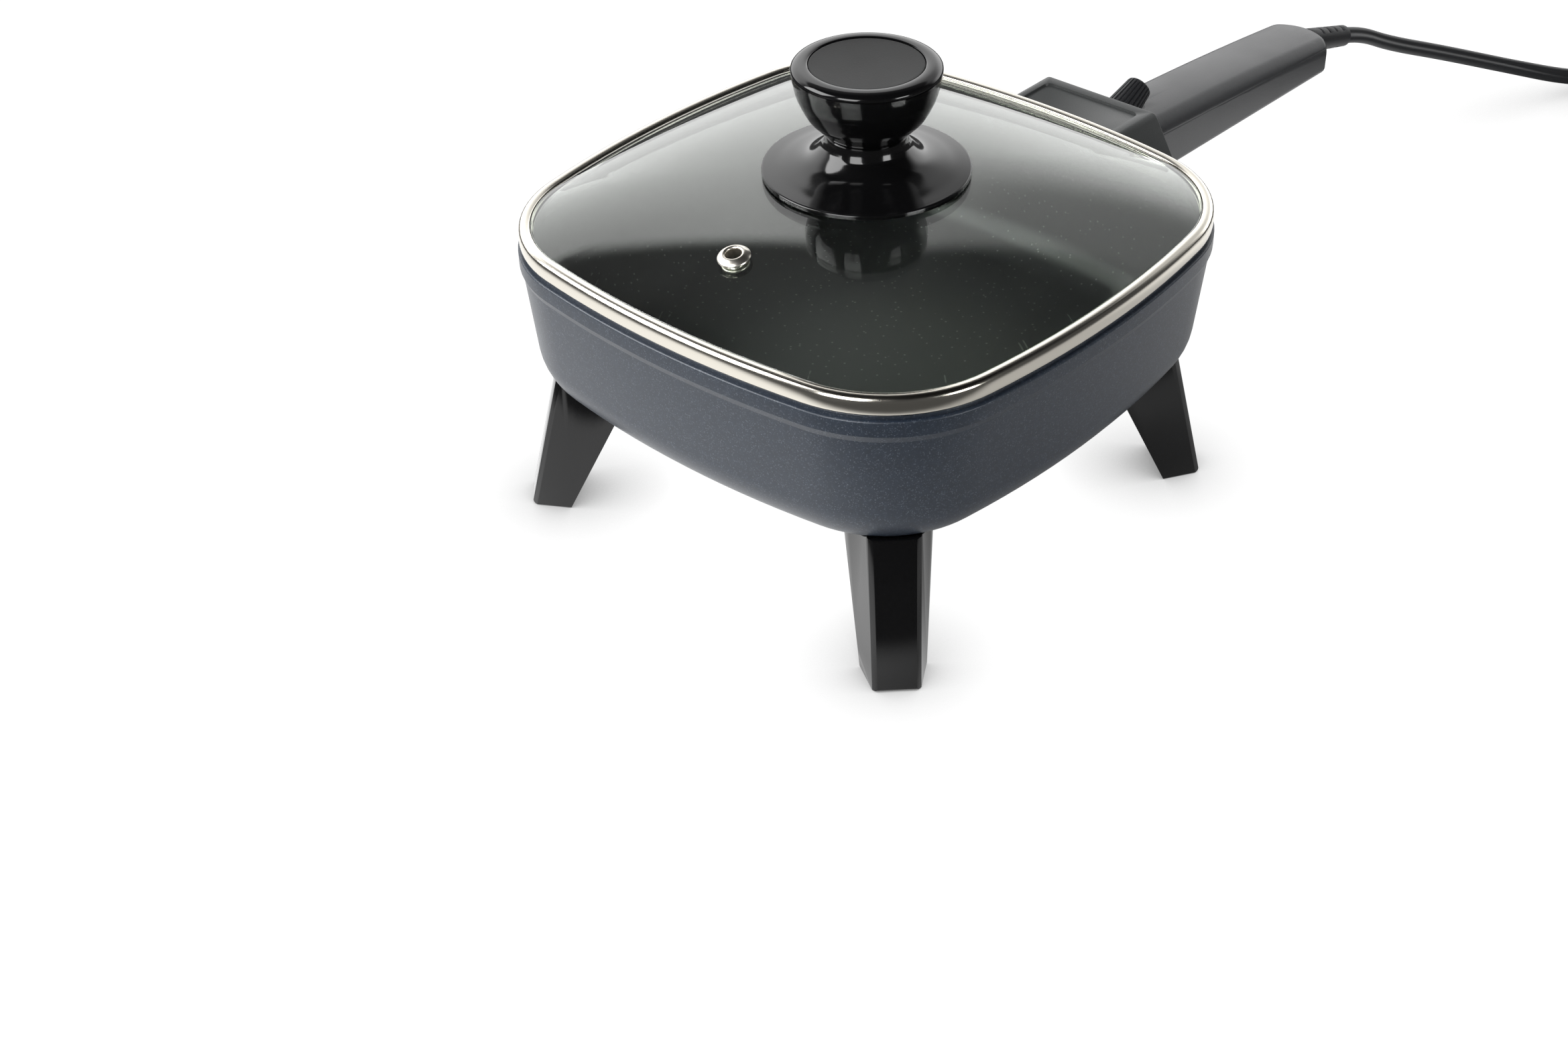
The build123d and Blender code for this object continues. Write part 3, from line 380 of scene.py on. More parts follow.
def to_mesh(shape, name, degrees=32, fill=False):
    """Merges doubles, closes holes if asked, turns normals outwards and makes a mesh."""
    bmesh.ops.remove_doubles(shape, verts=shape.verts, dist=1e-6)
    if fill:
        bmesh.ops.holes_fill(shape, edges=[e for e in shape.edges if e.is_boundary], sides=0)
    bmesh.ops.recalc_face_normals(shape, faces=shape.faces)
    mesh = bpy.data.meshes.new(name)
    shape.to_mesh(mesh)
    shape.free()
    smooth_by_angle(mesh, degrees)
    return mesh


def arc(cx, cz, radius, start, end, steps):
    """Points of an arc in (inset or radius, height), angles in degrees."""
    return [
        (cx + radius * math.cos(math.radians(a)), cz + radius * math.sin(math.radians(a)))
        for a in np.linspace(start, end, steps + 1)
    ]


# %% [markdown]
# ## Geometry Nodes: a profile carried round the outline
# The pan's wall and the lid's rim are both a profile that follows the plan. The tree
# makes the plan from the rule above, with its sizes as inputs, and Curve to Mesh carries
# the profile along it. The profile is a flat curve: outward is its +X, and down is its +Y.

# %% The tree's inputs and a short way to add maths
def new_tree(name, *sockets):
    tree = bpy.data.node_groups.new(name, "GeometryNodeTree")
    for label, kind, default in sockets:
        socket = tree.interface.new_socket(label, in_out="INPUT", socket_type=kind)
        if default is not None:
            socket.default_value = default
    tree.interface.new_socket("Geometry", in_out="OUTPUT", socket_type="NodeSocketGeometry")
    inputs = add_node(tree, "NodeGroupInput").outputs
    return tree, inputs


def maths(tree, operation, *values):
    made = tree.nodes.new("ShaderNodeMath")
    made.operation = operation
    for socket, value in zip(made.inputs, values):
        if isinstance(value, bpy.types.NodeSocket):
            tree.links.new(value, socket)
        else:
            socket.default_value = value
    return made.outputs[0]


def product(tree, first, *others):
    for other in others:
        first = maths(tree, "MULTIPLY", first, other)
    return first


def end_tree(tree, geometry, material):
    """Realize Instances, Set Material, output."""
    real = add_node(tree, "GeometryNodeRealizeInstances", [("Geometry", geometry)])
    dressed = add_node(
        tree, "GeometryNodeSetMaterial", [("Geometry", real.outputs["Geometry"]), ("Material", material)]
    )
    add_node(tree, "NodeGroupOutput", [("Geometry", dressed.outputs["Geometry"])])


def run_tree(tree, name, **values):
    """Runs a tree on an empty mesh and returns the plain mesh it makes."""
    holder = bpy.data.objects.new(name, bpy.data.meshes.new(name))
    bpy.context.scene.collection.objects.link(holder)
    modifier = holder.modifiers.new(tree.name, "NODES")
    modifier.node_group = tree
    sockets = {s.name: s.identifier for s in tree.interface.items_tree if s.in_out == "INPUT"}
    for label, value in values.items():
        modifier[sockets[label.replace("_", " ")]] = value
    holder.data.update()
    evaluated = holder.evaluated_get(bpy.context.evaluated_depsgraph_get())
    mesh = bpy.data.meshes.new_from_object(evaluated)
    bpy.data.objects.remove(holder)
    mesh.name = name
    return mesh


# %% The outline tree
tree, given = new_tree(
    "Carry a profile round the outline",
    ("Profile", "NodeSocketObject", None),
    ("Half width", "NodeSocketFloat", HALF * MM),
    ("Side radius", "NodeSocketFloat", SIDE_R * MM),
    ("Corner radius", "NodeSocketFloat", CORNER_R * MM),
    ("Side steps", "NodeSocketInt", SIDE_STEPS),
    ("Corner steps", "NodeSocketInt", CORNER_STEPS),
    ("Material", "NodeSocketMaterial", None),
)
steps = maths(tree, "ADD", given["Side steps"], given["Corner steps"])
count = product(tree, steps, 4.0)
index = add_node(tree, "GeometryNodeInputIndex").outputs[0]
quarter = maths(tree, "FLOOR", maths(tree, "DIVIDE", index, steps))
place_in = maths(tree, "MODULO", index, steps)
on_corner = maths(tree, "GREATER_THAN", place_in, maths(tree, "SUBTRACT", given["Side steps"], 0.5))
on_side = maths(tree, "SUBTRACT", 1.0, on_corner)
bow = maths(tree, "SUBTRACT", given["Side radius"], given["Half width"])
reach = maths(tree, "SUBTRACT", given["Side radius"], given["Corner radius"])
square = maths(tree, "SUBTRACT", product(tree, reach, reach, 8.0), product(tree, bow, bow, 4.0))
root = maths(tree, "SQRT", square)
corner_at = maths(tree, "DIVIDE", maths(tree, "SUBTRACT", root, product(tree, bow, 2.0)), 4.0)
corner_turn = maths(tree, "ARCTAN2", corner_at, maths(tree, "ADD", corner_at, bow))
side_step = maths(tree, "DIVIDE", product(tree, place_in, 2.0), given["Side steps"])
side_angle = product(tree, corner_turn, maths(tree, "SUBTRACT", side_step, 1.0))
corner_span = maths(tree, "SUBTRACT", math.pi / 2, product(tree, corner_turn, 2.0))
past_side = maths(tree, "SUBTRACT", place_in, given["Side steps"])
corner_step = maths(tree, "DIVIDE", past_side, given["Corner steps"])
corner_angle = maths(tree, "ADD", corner_turn, product(tree, corner_span, corner_step))


def either(side_value, corner_value):
    """The first value on a bowed side, the second on a corner."""
    return maths(tree, "ADD", product(tree, side_value, on_side), product(tree, corner_value, on_corner))


quarter_turn = product(tree, quarter, math.pi / 2)
angle = maths(tree, "ADD", quarter_turn, either(side_angle, corner_angle))
radius = either(given["Side radius"], given["Corner radius"])
centre_angle = maths(tree, "ADD", quarter_turn, either(math.pi, math.pi / 4))
centre_reach = either(bow, product(tree, corner_at, math.sqrt(2)))
spot = [
    maths(tree, "ADD", product(tree, centre_reach, maths(tree, kind, centre_angle)),
          product(tree, radius, maths(tree, kind, angle)))
    for kind in ("COSINE", "SINE")
]
where = add_node(
    tree, "ShaderNodeCombineXYZ", [("X", maths(tree, "ADD", spot[0], PAN_X * MM)), ("Y", spot[1])]
)
dots = add_node(tree, "GeometryNodePoints", [("Count", count), ("Position", where.outputs[0])])
string = add_node(tree, "GeometryNodePointsToCurves", [("Points", dots.outputs[0]), ("Weight", index)])
ring = add_node(tree, "GeometryNodeSetSplineCyclic", [("Geometry", string.outputs[0]), ("Cyclic", True)])
upright = add_node(tree, "GeometryNodeSetCurveNormal", [("Curve", ring.outputs[0])], mode="Z_UP")
profile = add_node(tree, "GeometryNodeObjectInfo", [("Object", given["Profile"])])
swept = add_node(
    tree, "GeometryNodeCurveToMesh",
    [("Curve", upright.outputs[0]), ("Profile Curve", profile.outputs["Geometry"])],
)
end_tree(tree, swept.outputs[0], given["Material"])
outline_tree = tree
print(len(tree.nodes), "nodes in the outline tree")


# %% Profile curves
def profile_curve(name, points, closed):
    """A flat poly curve in the XY plane from (outward, up) points in mm; its +Y points down."""
    curve = bpy.data.curves.new(name, "CURVE")
    curve.dimensions = "3D"
    line = curve.splines.new("POLY")
    line.points.add(len(points) - 1)
    for dot, (out, up) in zip(line.points, points):
        dot.co = (out * MM, -up * MM, 0, 1)
    line.use_cyclic_u = closed
    obj = bpy.data.objects.new(name, curve)
    bpy.context.scene.collection.objects.link(obj)
    return obj


def carried(name, points, closed, material):
    """Carries a profile round the outline and returns a bmesh of it."""
    profile = profile_curve(name + "_profile", points, closed)
    mesh = run_tree(outline_tree, name, Profile=profile, Material=material)
    bpy.data.objects.remove(profile)
    shape = bmesh.new()
    shape.from_mesh(mesh)
    bpy.data.meshes.remove(mesh)
    return shape


# %% [markdown]
# ## Pan
# The pan is die-cast: a drafted wall 4 mm thick, a generous round at the bottom edge so
# that the metal flows, a flare that ends in an upright lip, a seat that holds the lid
# a little above the lip, and a well with its own large round. One profile, from the
# middle of the underside over the lip to the middle of the floor, goes round the
# outline; the two flat discs that stay open are filled.

# %% Pan profile
PAN_BOTTOM, PAN_FLOOR = 44.07, 49.0
WALL_TOP, LIP_BOTTOM, LIP_TOP, SEAT_TOP = 87.7, 89.95, 95.0, 96.2
WALL_INSET, LIP_INSET, SEAT_INSET, MOUTH_INSET = 0.43, -0.5, 0.9, 4.2
DRAFT = math.radians(5.71)
FOOT_R, WELL_R = 18.45, 15.0
LIP_ROUND, SEAT_ROUND, MOUTH_ROUND, MOUTH_ROUND_AT = 0.6, 0.25, 0.6, 3.9
UNDER_RUN, FLOOR_RUN = 34, 28
foot_inset = WALL_INSET + math.tan(DRAFT) * (WALL_TOP - PAN_BOTTOM)
foot_in = foot_inset + FOOT_R * math.tan((math.pi / 2 - DRAFT) / 2)
under = [(-foot_inset - UNDER_RUN, PAN_BOTTOM)]
under += arc(-foot_in, PAN_BOTTOM + FOOT_R, FOOT_R, -90, -math.degrees(DRAFT), 12)
lip = [(-WALL_INSET, WALL_TOP), (-LIP_INSET, LIP_BOTTOM)]
lip += arc(-LIP_INSET - LIP_ROUND, LIP_TOP - LIP_ROUND, LIP_ROUND, 0, 90, 7)
lip += [(-SEAT_INSET, LIP_TOP)]
lip += arc(-SEAT_INSET - SEAT_ROUND, SEAT_TOP - SEAT_ROUND, SEAT_ROUND, 0, 90, 7)
lip += arc(-MOUTH_ROUND_AT, SEAT_TOP - MOUTH_ROUND, MOUTH_ROUND, 90, 174, 7)
well_foot = MOUTH_INSET + math.tan(DRAFT) * (SEAT_TOP - PAN_FLOOR)
well_in = well_foot + WELL_R * math.tan((math.pi / 2 - DRAFT) / 2)
well = arc(-well_in, PAN_FLOOR + WELL_R, WELL_R, -math.degrees(DRAFT), -90, 12)
well += [(-well_foot - FLOOR_RUN, PAN_FLOOR)]
pan_profile = under + lip + well
print(len(pan_profile), "points in the pan's profile")

# %% Pan mesh
shape = carried("pan_body", pan_profile, False, enamel)
bmesh.ops.remove_doubles(shape, verts=shape.verts, dist=1e-6)
bmesh.ops.holes_fill(shape, edges=[e for e in shape.edges if e.is_boundary], sides=0)
bmesh.ops.recalc_face_normals(shape, faces=shape.faces)
print("pan:", len(shape.faces), "faces")


def add_turned(shape, x, y, points, steps):
    """Adds a closed ring turned about an upright axis, from (radius, z) points."""
    rows = []
    for i in range(steps):
        across, along = math.cos(2 * math.pi * i / steps), math.sin(2 * math.pi * i / steps)
        rows.append([shape.verts.new(at(x + r * across, y + r * along, z)) for r, z in points])
    for i in range(steps):
        low, high = rows[i], rows[(i + 1) % steps]
        for k in range(len(points)):
            n = (k + 1) % len(points)
            shape.faces.new((low[k], low[n], high[n], high[k]))


# ridge that carries the heater, and a boss for each leg
RIDGE = [(45.5, 45), (45.5, 40.1), (47.1, 38.5), (48.4, 38.5), (48.4, 40.1), (49.5, 42.4), (52, 43.5),
         (54.5, 42.4), (55.6, 40.1), (55.6, 38.5), (56.9, 38.5), (58.5, 40.1), (58.5, 45)]
LEG_BOLT = 90
LEG_BOSS = [(1.95, 46), (1.95, 40), (5, 40), (5, 46)]
add_turned(shape, 0, 0, RIDGE, 96)
for turn in (45, 135, 225, 315):
    a = math.radians(turn)
    add_turned(shape, LEG_BOLT * math.cos(a), LEG_BOLT * math.sin(a), LEG_BOSS, 32)
# boss behind the sockets, a thick block under the floor and a lower one on the wall
SOCKET_BOSS = (((62, -29, 34.5), (99.5, 29, 46)), ((84, -29, 40), (99.5, 29, 54.5)))
BOSS_ROUND = 3.9
for low, high in SOCKET_BOSS:
    corners = bmesh.ops.create_cube(shape, size=1)["verts"]
    for v in corners:
        v.co = at(*(a if c < 0 else b for c, a, b in zip(v.co, low, high)))
    edges = {e for v in corners for e in v.link_edges}
    lengthwise = [e for e in edges if abs(e.verts[0].co.x - e.verts[1].co.x) > MM]
    bmesh.ops.bevel(
        shape, geom=lengthwise, offset=BOSS_ROUND * MM, segments=6, profile=0.5, affect="EDGES"
    )
bmesh.ops.recalc_face_normals(shape, faces=shape.faces)
# the non-stick coat covers what faces up or inwards, but not the ledge outside the lid's seat
LEDGE = (94.0 * MM, 95.9 * MM)
for face in shape.faces:
    centre = face.calc_center_median()
    out = Vector((centre.x - PAN_X * MM, centre.y, 0)).normalized()
    most_outward = -0.2 if LEDGE[0] < centre.z < LEDGE[1] else 0.3
    above_floor = centre.z > (PAN_FLOOR - 0.01) * MM
    if above_floor and face.normal.z > -0.2 and face.normal.dot(out) < most_outward:
        face.material_index = 1
mesh = bpy.data.meshes.new("pan_body")
mesh.materials.append(enamel)
mesh.materials.append(nonstick)
shape.to_mesh(mesh)
shape.free()
smooth_by_angle(mesh, 14)
pan_body = show("pan_body", mesh, "base", ["pan"])
coated = sum(face.material_index for face in mesh.polygons)
print(pan_body.name, len(mesh.polygons), "faces,", coated, "of them non-stick")

# %% [markdown]
# ## Lid rim
# The rim is one strip of stainless steel, rolled round the glass: a slightly convex
# outer band turns over in a round of 1.8 mm, and falls inwards to a lip that grips the
# edge of the glass. Below it a ledge carries the glass and a skirt drops into the pan's
# mouth. It is the same tree with another profile, closed this time.

# %% Rim profile and mesh
RIM_BOTTOM = 96.5
rim_profile = (
    [(-3.35, 4.65), (-0.8, 4.65), (-0.8, 0.85), (-5.4, 0.85), (-5.4, -3.0), (-4.7, -3.0)]
    + [(-4.7, -0.3), (-4.4, 0)]
    + arc(-0.85, 0.7, 0.7, -90, -10, 5)
    + arc(-10.99, 2.488, 11.0, -10, 11, 8)[1:]
    + arc(-1.96, 4.244, 1.8, 11, 90, 12)[1:]
    + arc(-1.96, 2.044, 4.0, 90, 112, 5)[1:]
    + arc(-3.31, 5.382, 0.4, 112, 200, 6)[1:]
)
shape = carried("lid_rim_steel", [(x, z + RIM_BOTTOM) for x, z in rim_profile], True, steel)
lid_rim = show("lid_rim_steel", to_mesh(shape, "lid_rim_steel", 40), "lid", ["lid_rim"])
finish_with(lid_rim, steel)
print("rim", len(lid_rim.data.polygons), "faces")

# %% [markdown]
# ## Lid glass
# Tempered glass sags into a mould: a piece of a large sphere in the middle, while the
# clamped edge stays level all round. Halfway along a side the sphere would stand highest
# over that edge, so there the glass bends down the most, with the fourth power of the
# distance from the middle. The inside skin is the outside one moved 3.6 mm along its
# normals. A flat foot stands on the rim's ledge, and the knob's screw has its hole.

# %% Glass skins
DOME_TOP, DOME_R, GLASS = 116.4, 450.0, 3.6
EDGE_Z, EDGE_INSET, EDGE_R, FALL = 102.1, 3.6, 0.6, 4
FOOT_INSET, FOOT_LOW, FOOT_HIGH = 1.0, 97.4, 101.1
SCREW_HOLE_R = 2.8


def sphere_height(points):
    return DOME_TOP - DOME_R + np.sqrt(DOME_R**2 - (points**2).sum(axis=-1))


def flat_row(points, height):
    return np.column_stack((points[:, 0], points[:, 1], np.full(len(points), height)))


edge, outs = outline(EDGE_INSET + EDGE_R)
over_edge = sphere_height(edge) - EDGE_Z
hole = SCREW_HOLE_R * edge / np.hypot(edge[:, 0], edge[:, 1])[:, None]
outside = []
for t in np.linspace(0, 1, 34):
    ring = (1 - t) * edge + t * hole
    reach = np.hypot(ring[:, 0], ring[:, 1]) / np.hypot(edge[:, 0], edge[:, 1])
    outside.append(np.column_stack((ring, sphere_height(ring) - over_edge * reach**FALL)))
outside = np.array(outside)
inwards = np.gradient(outside, axis=0)
around = np.roll(outside, -1, axis=1) - np.roll(outside, 1, axis=1)
normals = np.cross(inwards, around)
normals *= np.sign(normals[..., 2:]) / np.linalg.norm(normals, axis=2)[..., None]
inside = outside - GLASS * normals
border = []
for t in np.linspace(0, 1, 7)[:-1]:
    aim = (1 - t) * np.column_stack((outs, np.zeros(len(outs)))) + t * normals[0]
    aim /= np.linalg.norm(aim, axis=1)[:, None]
    border.append(outside[0] + EDGE_R * (aim - normals[0]))
foot = outline(FOOT_INSET)[0]
foot_rows = [flat_row(foot, FOOT_LOW), flat_row(foot, FOOT_HIGH), flat_row(border[0], FOOT_HIGH)]
shape = skin([*foot_rows, *border, *outside, *inside[::-1], flat_row(inside[0], FOOT_LOW)], loop=True)
print("glass skins", len(shape.faces), "faces, falls", np.round([over_edge.min(), over_edge.max()], 2))


# %% Vent hole, cut square to the dome
VENT_X, VENT_R, VENT_REACH = -60.0, 3.3, 8


def on_dome(x):
    """Point of the dome above the lengthwise line, and the direction square to it."""
    edge_x = HALF - EDGE_INSET - EDGE_R
    over = float(sphere_height(np.array((edge_x, 0)))) - EDGE_Z
    height = math.sqrt(DOME_R**2 - x**2)
    slope = x / height + FALL * over * x * abs(x) ** (FALL - 2) / edge_x**FALL
    foot = (x, 0, DOME_TOP - DOME_R + height - over * abs(x / edge_x) ** FALL)
    return np.array(foot), np.array((slope, 0, 1)) / math.hypot(slope, 1)


def turned_about(foot, axis, points, steps):
    """Rows of points turned about an axis, from (radius, height) points; for skin()."""
    axis = np.array(axis) / np.linalg.norm(axis)
    across = np.cross(axis, (0, 1, 0))
    across /= np.linalg.norm(across)
    other = np.cross(axis, across)
    angles = 2 * np.pi * np.arange(steps) / steps
    circle = np.outer(np.cos(angles), across) + np.outer(np.sin(angles), other)
    return [foot + h * axis + r * circle for r, h in points]


def cut(obj, cutter):
    """Cuts one mesh out of another with the exact boolean, then removes the cutter."""
    modifier = obj.modifiers.new("cut", "BOOLEAN")
    modifier.object, modifier.operation, modifier.solver = cutter, "DIFFERENCE", "EXACT"
    evaluated = obj.evaluated_get(bpy.context.evaluated_depsgraph_get())
    mesh = bpy.data.meshes.new_from_object(evaluated)
    obj.modifiers.clear()
    old, obj.data = obj.data, mesh
    bpy.data.meshes.remove(old)
    bpy.data.objects.remove(cutter)


vent_foot, vent_axis = on_dome(VENT_X)
mesh = to_mesh(shape, "lid_dome_glass", 50)
lid_glass = show("lid_dome_glass", mesh, "lid", ["lid_glass"])
drill = [(0.01, -VENT_REACH), (VENT_R, -VENT_REACH), (VENT_R, VENT_REACH), (0.01, VENT_REACH)]
punch_mesh = to_mesh(skin(turned_about(vent_foot, vent_axis, drill, 48)), "punch", fill=True)
punch = bpy.data.objects.new("punch", punch_mesh)
bpy.context.scene.collection.objects.link(punch)
cut(lid_glass, punch)
smooth_by_angle(lid_glass.data, 50)
finish_with(lid_glass, glass)
print("glass", len(lid_glass.data.polygons), "faces")

# %% [markdown]
# ## Vent eyelet and knob
# These were turned or moulded in round moulds, so each is a profile spun about an axis.
# A Catmull-Rom line gives the flowing stretches, as a pattern maker's curve would.

# %% Turned pieces
def flowing(points, steps=8):
    """A smooth line through points, for the long curves of a turned profile."""
    p = [np.array(q, float) for q in points]
    p = [2 * p[0] - p[1]] + p + [2 * p[-1] - p[-2]]
    line = []
    for a, b, c, d in zip(p, p[1:], p[2:], p[3:]):
        square, cube = 2 * a - 5 * b + 4 * c - d, 3 * b - a - 3 * c + d
        for t in np.arange(steps) / steps:
            line.append(tuple(0.5 * (2 * b + (c - a) * t + square * t**2 + cube * t**3)))
    return line + [tuple(p[-2])]


def turned(name, points, material, node, foot=(0, 0, 0), axis=(0, 0, 1), steps=96, degrees=32):
    """A turned piece of the lid. A profile that keeps off the axis is a closed loop."""
    shape = skin(turned_about(np.array(foot, float), axis, points, steps), loop=points[0][0] > 0.05)
    finish_with(show(name, to_mesh(shape, name, degrees), "lid", [node]), material)


eyelet = (
    [(2.5, -4.6), (2.5, 0.9)] + arc(3.2, 1.0, 0.7, 180, 60, 6)
    + [(4.3, 1.1), (4.9, 0.6), (5.1, 0.3), (5.1, 0.03), (3.2, 0.03)]
    + [(3.2, -3.75), (4.1, -3.75), (4.3, -3.95), (4.3, -4.6)]
)
turned("vent_eyelet", eyelet, satin_steel, "vent_grommet", vent_foot, vent_axis, 64, 50)
flange = (
    [(2.6, 116.45), (2.6, 128.4), (12.3, 128.4)]
    + flowing([(12.6, 128.1), (13.2, 125.6), (14.5, 123.5), (19.0, 119.8), (26.0, 118.0), (31.6, 117.15)])
    + arc(31.75, 116.55, 0.6, 70, 0, 4) + [(32.35, 115.7), (9, 116.4)]
)
turned("knob_trumpet_flange", flange, phenolic, "knob_flange")
bowl = (
    [(0.01, 149.4), (0.01, 139), (2.4, 138), (2.4, 128.5), (11.9, 128.5)]
    + arc(12.0, 128.9, 0.4, -90, 0, 3)
    + flowing([(12.9, 129.2), (15.8, 132.0), (18.4, 135.0), (21.3, 141.0), (22.5, 146.0), (22.9, 148.7)])
    + [(22.6, 148.8), (22.6, 149.1), (22.95, 149.2)]
    + flowing([(22.95, 149.25), (22.75, 149.9), (22.1, 150.55), (20.9, 151.05), (19.4, 151.2),
               (18.2, 151.12), (17.8, 150.9)], 4)
    + [(17.8, 149.4)]
)
turned("knob_bowl", bowl, phenolic, "lid_knob")
dish = (
    [(0.01, 149.4), (17.6, 149.4), (17.6, 150.4)] + arc(17.3, 150.5, 0.3, 0, 90, 3)
    + [(r, 150.2 + 0.6 * (r / 17.3) ** 2) for r in np.linspace(16.8, 0.01, 12)]
)
turned("knob_matt_disc", dish, disc_plastic, "knob_top_disc")
print("eyelet, flange, bowl and disc turned")

# %% [markdown]
# ## Legs
# Four equal wedges stand on the diagonals. One softened leg is instanced four times
# round the pan's axis by Geometry Nodes, and the instances are made real.

# %% Leg tree
tree, given = new_tree(
    "Stand legs round an axis",
    ("Leg", "NodeSocketObject", None),
    ("Count", "NodeSocketInt", 4),
    ("Axis x", "NodeSocketFloat", PAN_X * MM),
    ("Material", "NodeSocketMaterial", None),
)
index = add_node(tree, "GeometryNodeInputIndex").outputs[0]
spots = add_node(tree, "GeometryNodePoints", [("Count", given["Count"])])
leg_mesh = add_node(tree, "GeometryNodeObjectInfo", [("Object", given["Leg"])])
back = product(tree, given["Axis x"], -1.0)
centred = add_node(
    tree, "GeometryNodeTransform",
    [("Geometry", leg_mesh.outputs["Geometry"]),
     ("Translation", add_node(tree, "ShaderNodeCombineXYZ", [("X", back)]).outputs[0])],
)
turn_by = product(tree, index, maths(tree, "DIVIDE", 2 * math.pi, given["Count"]))
spin = add_node(tree, "ShaderNodeCombineXYZ", [("Z", turn_by)])
stood = add_node(
    tree, "GeometryNodeInstanceOnPoints",
    [("Points", spots.outputs[0]), ("Instance", centred.outputs[0]), ("Rotation", spin.outputs[0])],
)
home = add_node(
    tree, "GeometryNodeTransform",
    [("Geometry", stood.outputs[0]),
     ("Translation", add_node(tree, "ShaderNodeCombineXYZ", [("X", given["Axis x"])]).outputs[0])],
)
end_tree(tree, home.outputs[0], given["Material"])
pattern = bpy.data.objects.new("leg_pattern", softened("leg_1", 0.35))
bpy.context.scene.collection.objects.link(pattern)
mesh = run_tree(tree, "legs", Leg=pattern, Material=phenolic)
bpy.data.objects.remove(pattern)
smooth_by_angle(mesh)
legs = show("legs", mesh, "base", ["leg_1", "leg_2", "leg_3", "leg_4"])
finish_with(legs, phenolic)
print("legs", len(mesh.polygons), "faces")

# %% [markdown]
# ## Temperature dial
# Moulded with 22 flutes so that fingers grip it. The rule is a taper whose radius dips
# at each flute; a grid bent round the dial's axis follows it.

# %% Dial
TILT = math.radians(25.8)
DIAL_TIP, DIAL_LENGTH = (148.95, 0, 87.57), 17.5
FLUTES, FLUTE_DEPTH, FLUTE_START, FLUTE_END = 22, 0.42, 1.3, 16.6
AROUND = 8 * FLUTES
dial_axis = np.array((math.cos(TILT), 0, math.sin(TILT)))
dial_seat = np.array(DIAL_TIP) - DIAL_LENGTH * dial_axis
levels = [(3.02, 11.6), (3.02, 0.5), (6.3, 0.5), (6.5, 0.75), (6.46, 1.2)]
levels += [(6.42 - 1.7 * t, 1.6 + 14.7 * t) for t in np.linspace(0, 1, 14)]
levels += [(4.6, 16.7), (4.35, 16.95), (3.5, 17.14), (2.0, 17.36), (0.01, DIAL_LENGTH)]
dial_rows = []
side = np.array((0, 1, 0))
rise = np.cross(dial_axis, side)
for r, h in levels:
    row = []
    depth = FLUTE_DEPTH if FLUTE_START < h < FLUTE_END else 0.0
    for k in range(AROUND):
        a = 2 * math.pi * k / AROUND
        dip = max(0.0, math.cos(FLUTES * a)) ** 1.5 * depth
        row.append(dial_seat + h * dial_axis + (r - dip) * (math.cos(a) * side + math.sin(a) * rise))
    dial_rows.append(row)
mesh = to_mesh(skin(dial_rows), "fluted_dial", 40, fill=True)
dial = show("fluted_dial", mesh, "dial", ["temperature_dial"])
finish_with(dial, dial_plastic)
print("dial", len(dial.data.polygons), "faces")

# %% [markdown]
# ## Probe shells, strain relief, plug
# The shells, the relief and the plug keep their CAD forms, with softened edges.

# %% Shells, relief, plug
for node, width, name, slot, material in (
    ("probe_upper_shell", 0.25, "probe_shell_upper", "handle_plastic", shell_plastic),
    ("probe_lower_shell", 0.25, "probe_shell_lower", "handle_plastic", shell_plastic),
    ("strain_relief", 0.2, "cord_relief", "cord_rubber", dial_plastic),
    ("plug_body", 0.3, "plug", "cord_rubber", cord_vinyl),
):
    made[node] = show(name, softened(node, width), "probe", [node])
    finish_with(made[node], material)
print(len(made), "softened pieces in all")

# %% [markdown]
# ## Cord
# The lead is two-core flat cable: two round jackets side by side, 6.5 mm wide and
# 3.6 mm thick, with a groove between them. It leaves the relief, comes down to the
# table in one long bend, and what is left is wound into a small coil, tied, with the
# plug beside it. A flat lead bends over its thin side only, so it leans on the way down
# and stands on edge in the coil. Its line is a NURBS spline; the section is carried
# along that line.

# %% Route
DROOP, SWING = math.radians(13.1), math.radians(6.6)
RELIEF_FOOT, RELIEF_LENGTH = (262.0, 0, 64.0), 25.8
relief_axis = np.array((
    math.cos(DROOP) * math.cos(SWING), -math.cos(DROOP) * math.sin(SWING), -math.sin(DROOP)
))
relief_end = np.array(RELIEF_FOOT) + RELIEF_LENGTH * relief_axis
route = [relief_end, relief_end + 11 * relief_axis, (314.3, -9.0, 46.8), (342.4, -18.7, 35.6),
         (376.5, -33.3, 21.3), (407.1, -47.2, 8.9), (427.0, -55.2, 4.4)]
# the coil: an outer turn on the table, an inner turn, and a quarter turn that lies over them
COIL_X, COIL_Y = 434.5, -99.3
TURNS, TURN_POINTS, COIL_START = 2.25, 14, 71.5
OUTER_R, INNER_R, LAST_R = 39.4, 33.0, 36.2
LYING_Z, CROSSING_Z = 4.05, 9.4
for i in range(int(TURNS * TURN_POINTS) + 1):
    gone = i * 360 / TURN_POINTS
    first = min(max((gone - 270) / 90, 0), 1)
    second = min(max((gone - 600) / 110, 0), 1)
    r = OUTER_R + (INNER_R - OUTER_R) * first + (LAST_R - INNER_R) * second
    z = LYING_Z + (CROSSING_Z - LYING_Z) * second
    a = math.radians(COIL_START - gone)
    route.append((COIL_X + r * math.cos(a), COIL_Y + r * math.sin(a), z))
tail = [(29.5, -26.0, 8.0), (22.5, -38.5, 7.0), (13.5, -49.5, 7.0)]
route += [(COIL_X + x, COIL_Y + y, z) for x, y, z in tail]
print(len(route), "points in the route")


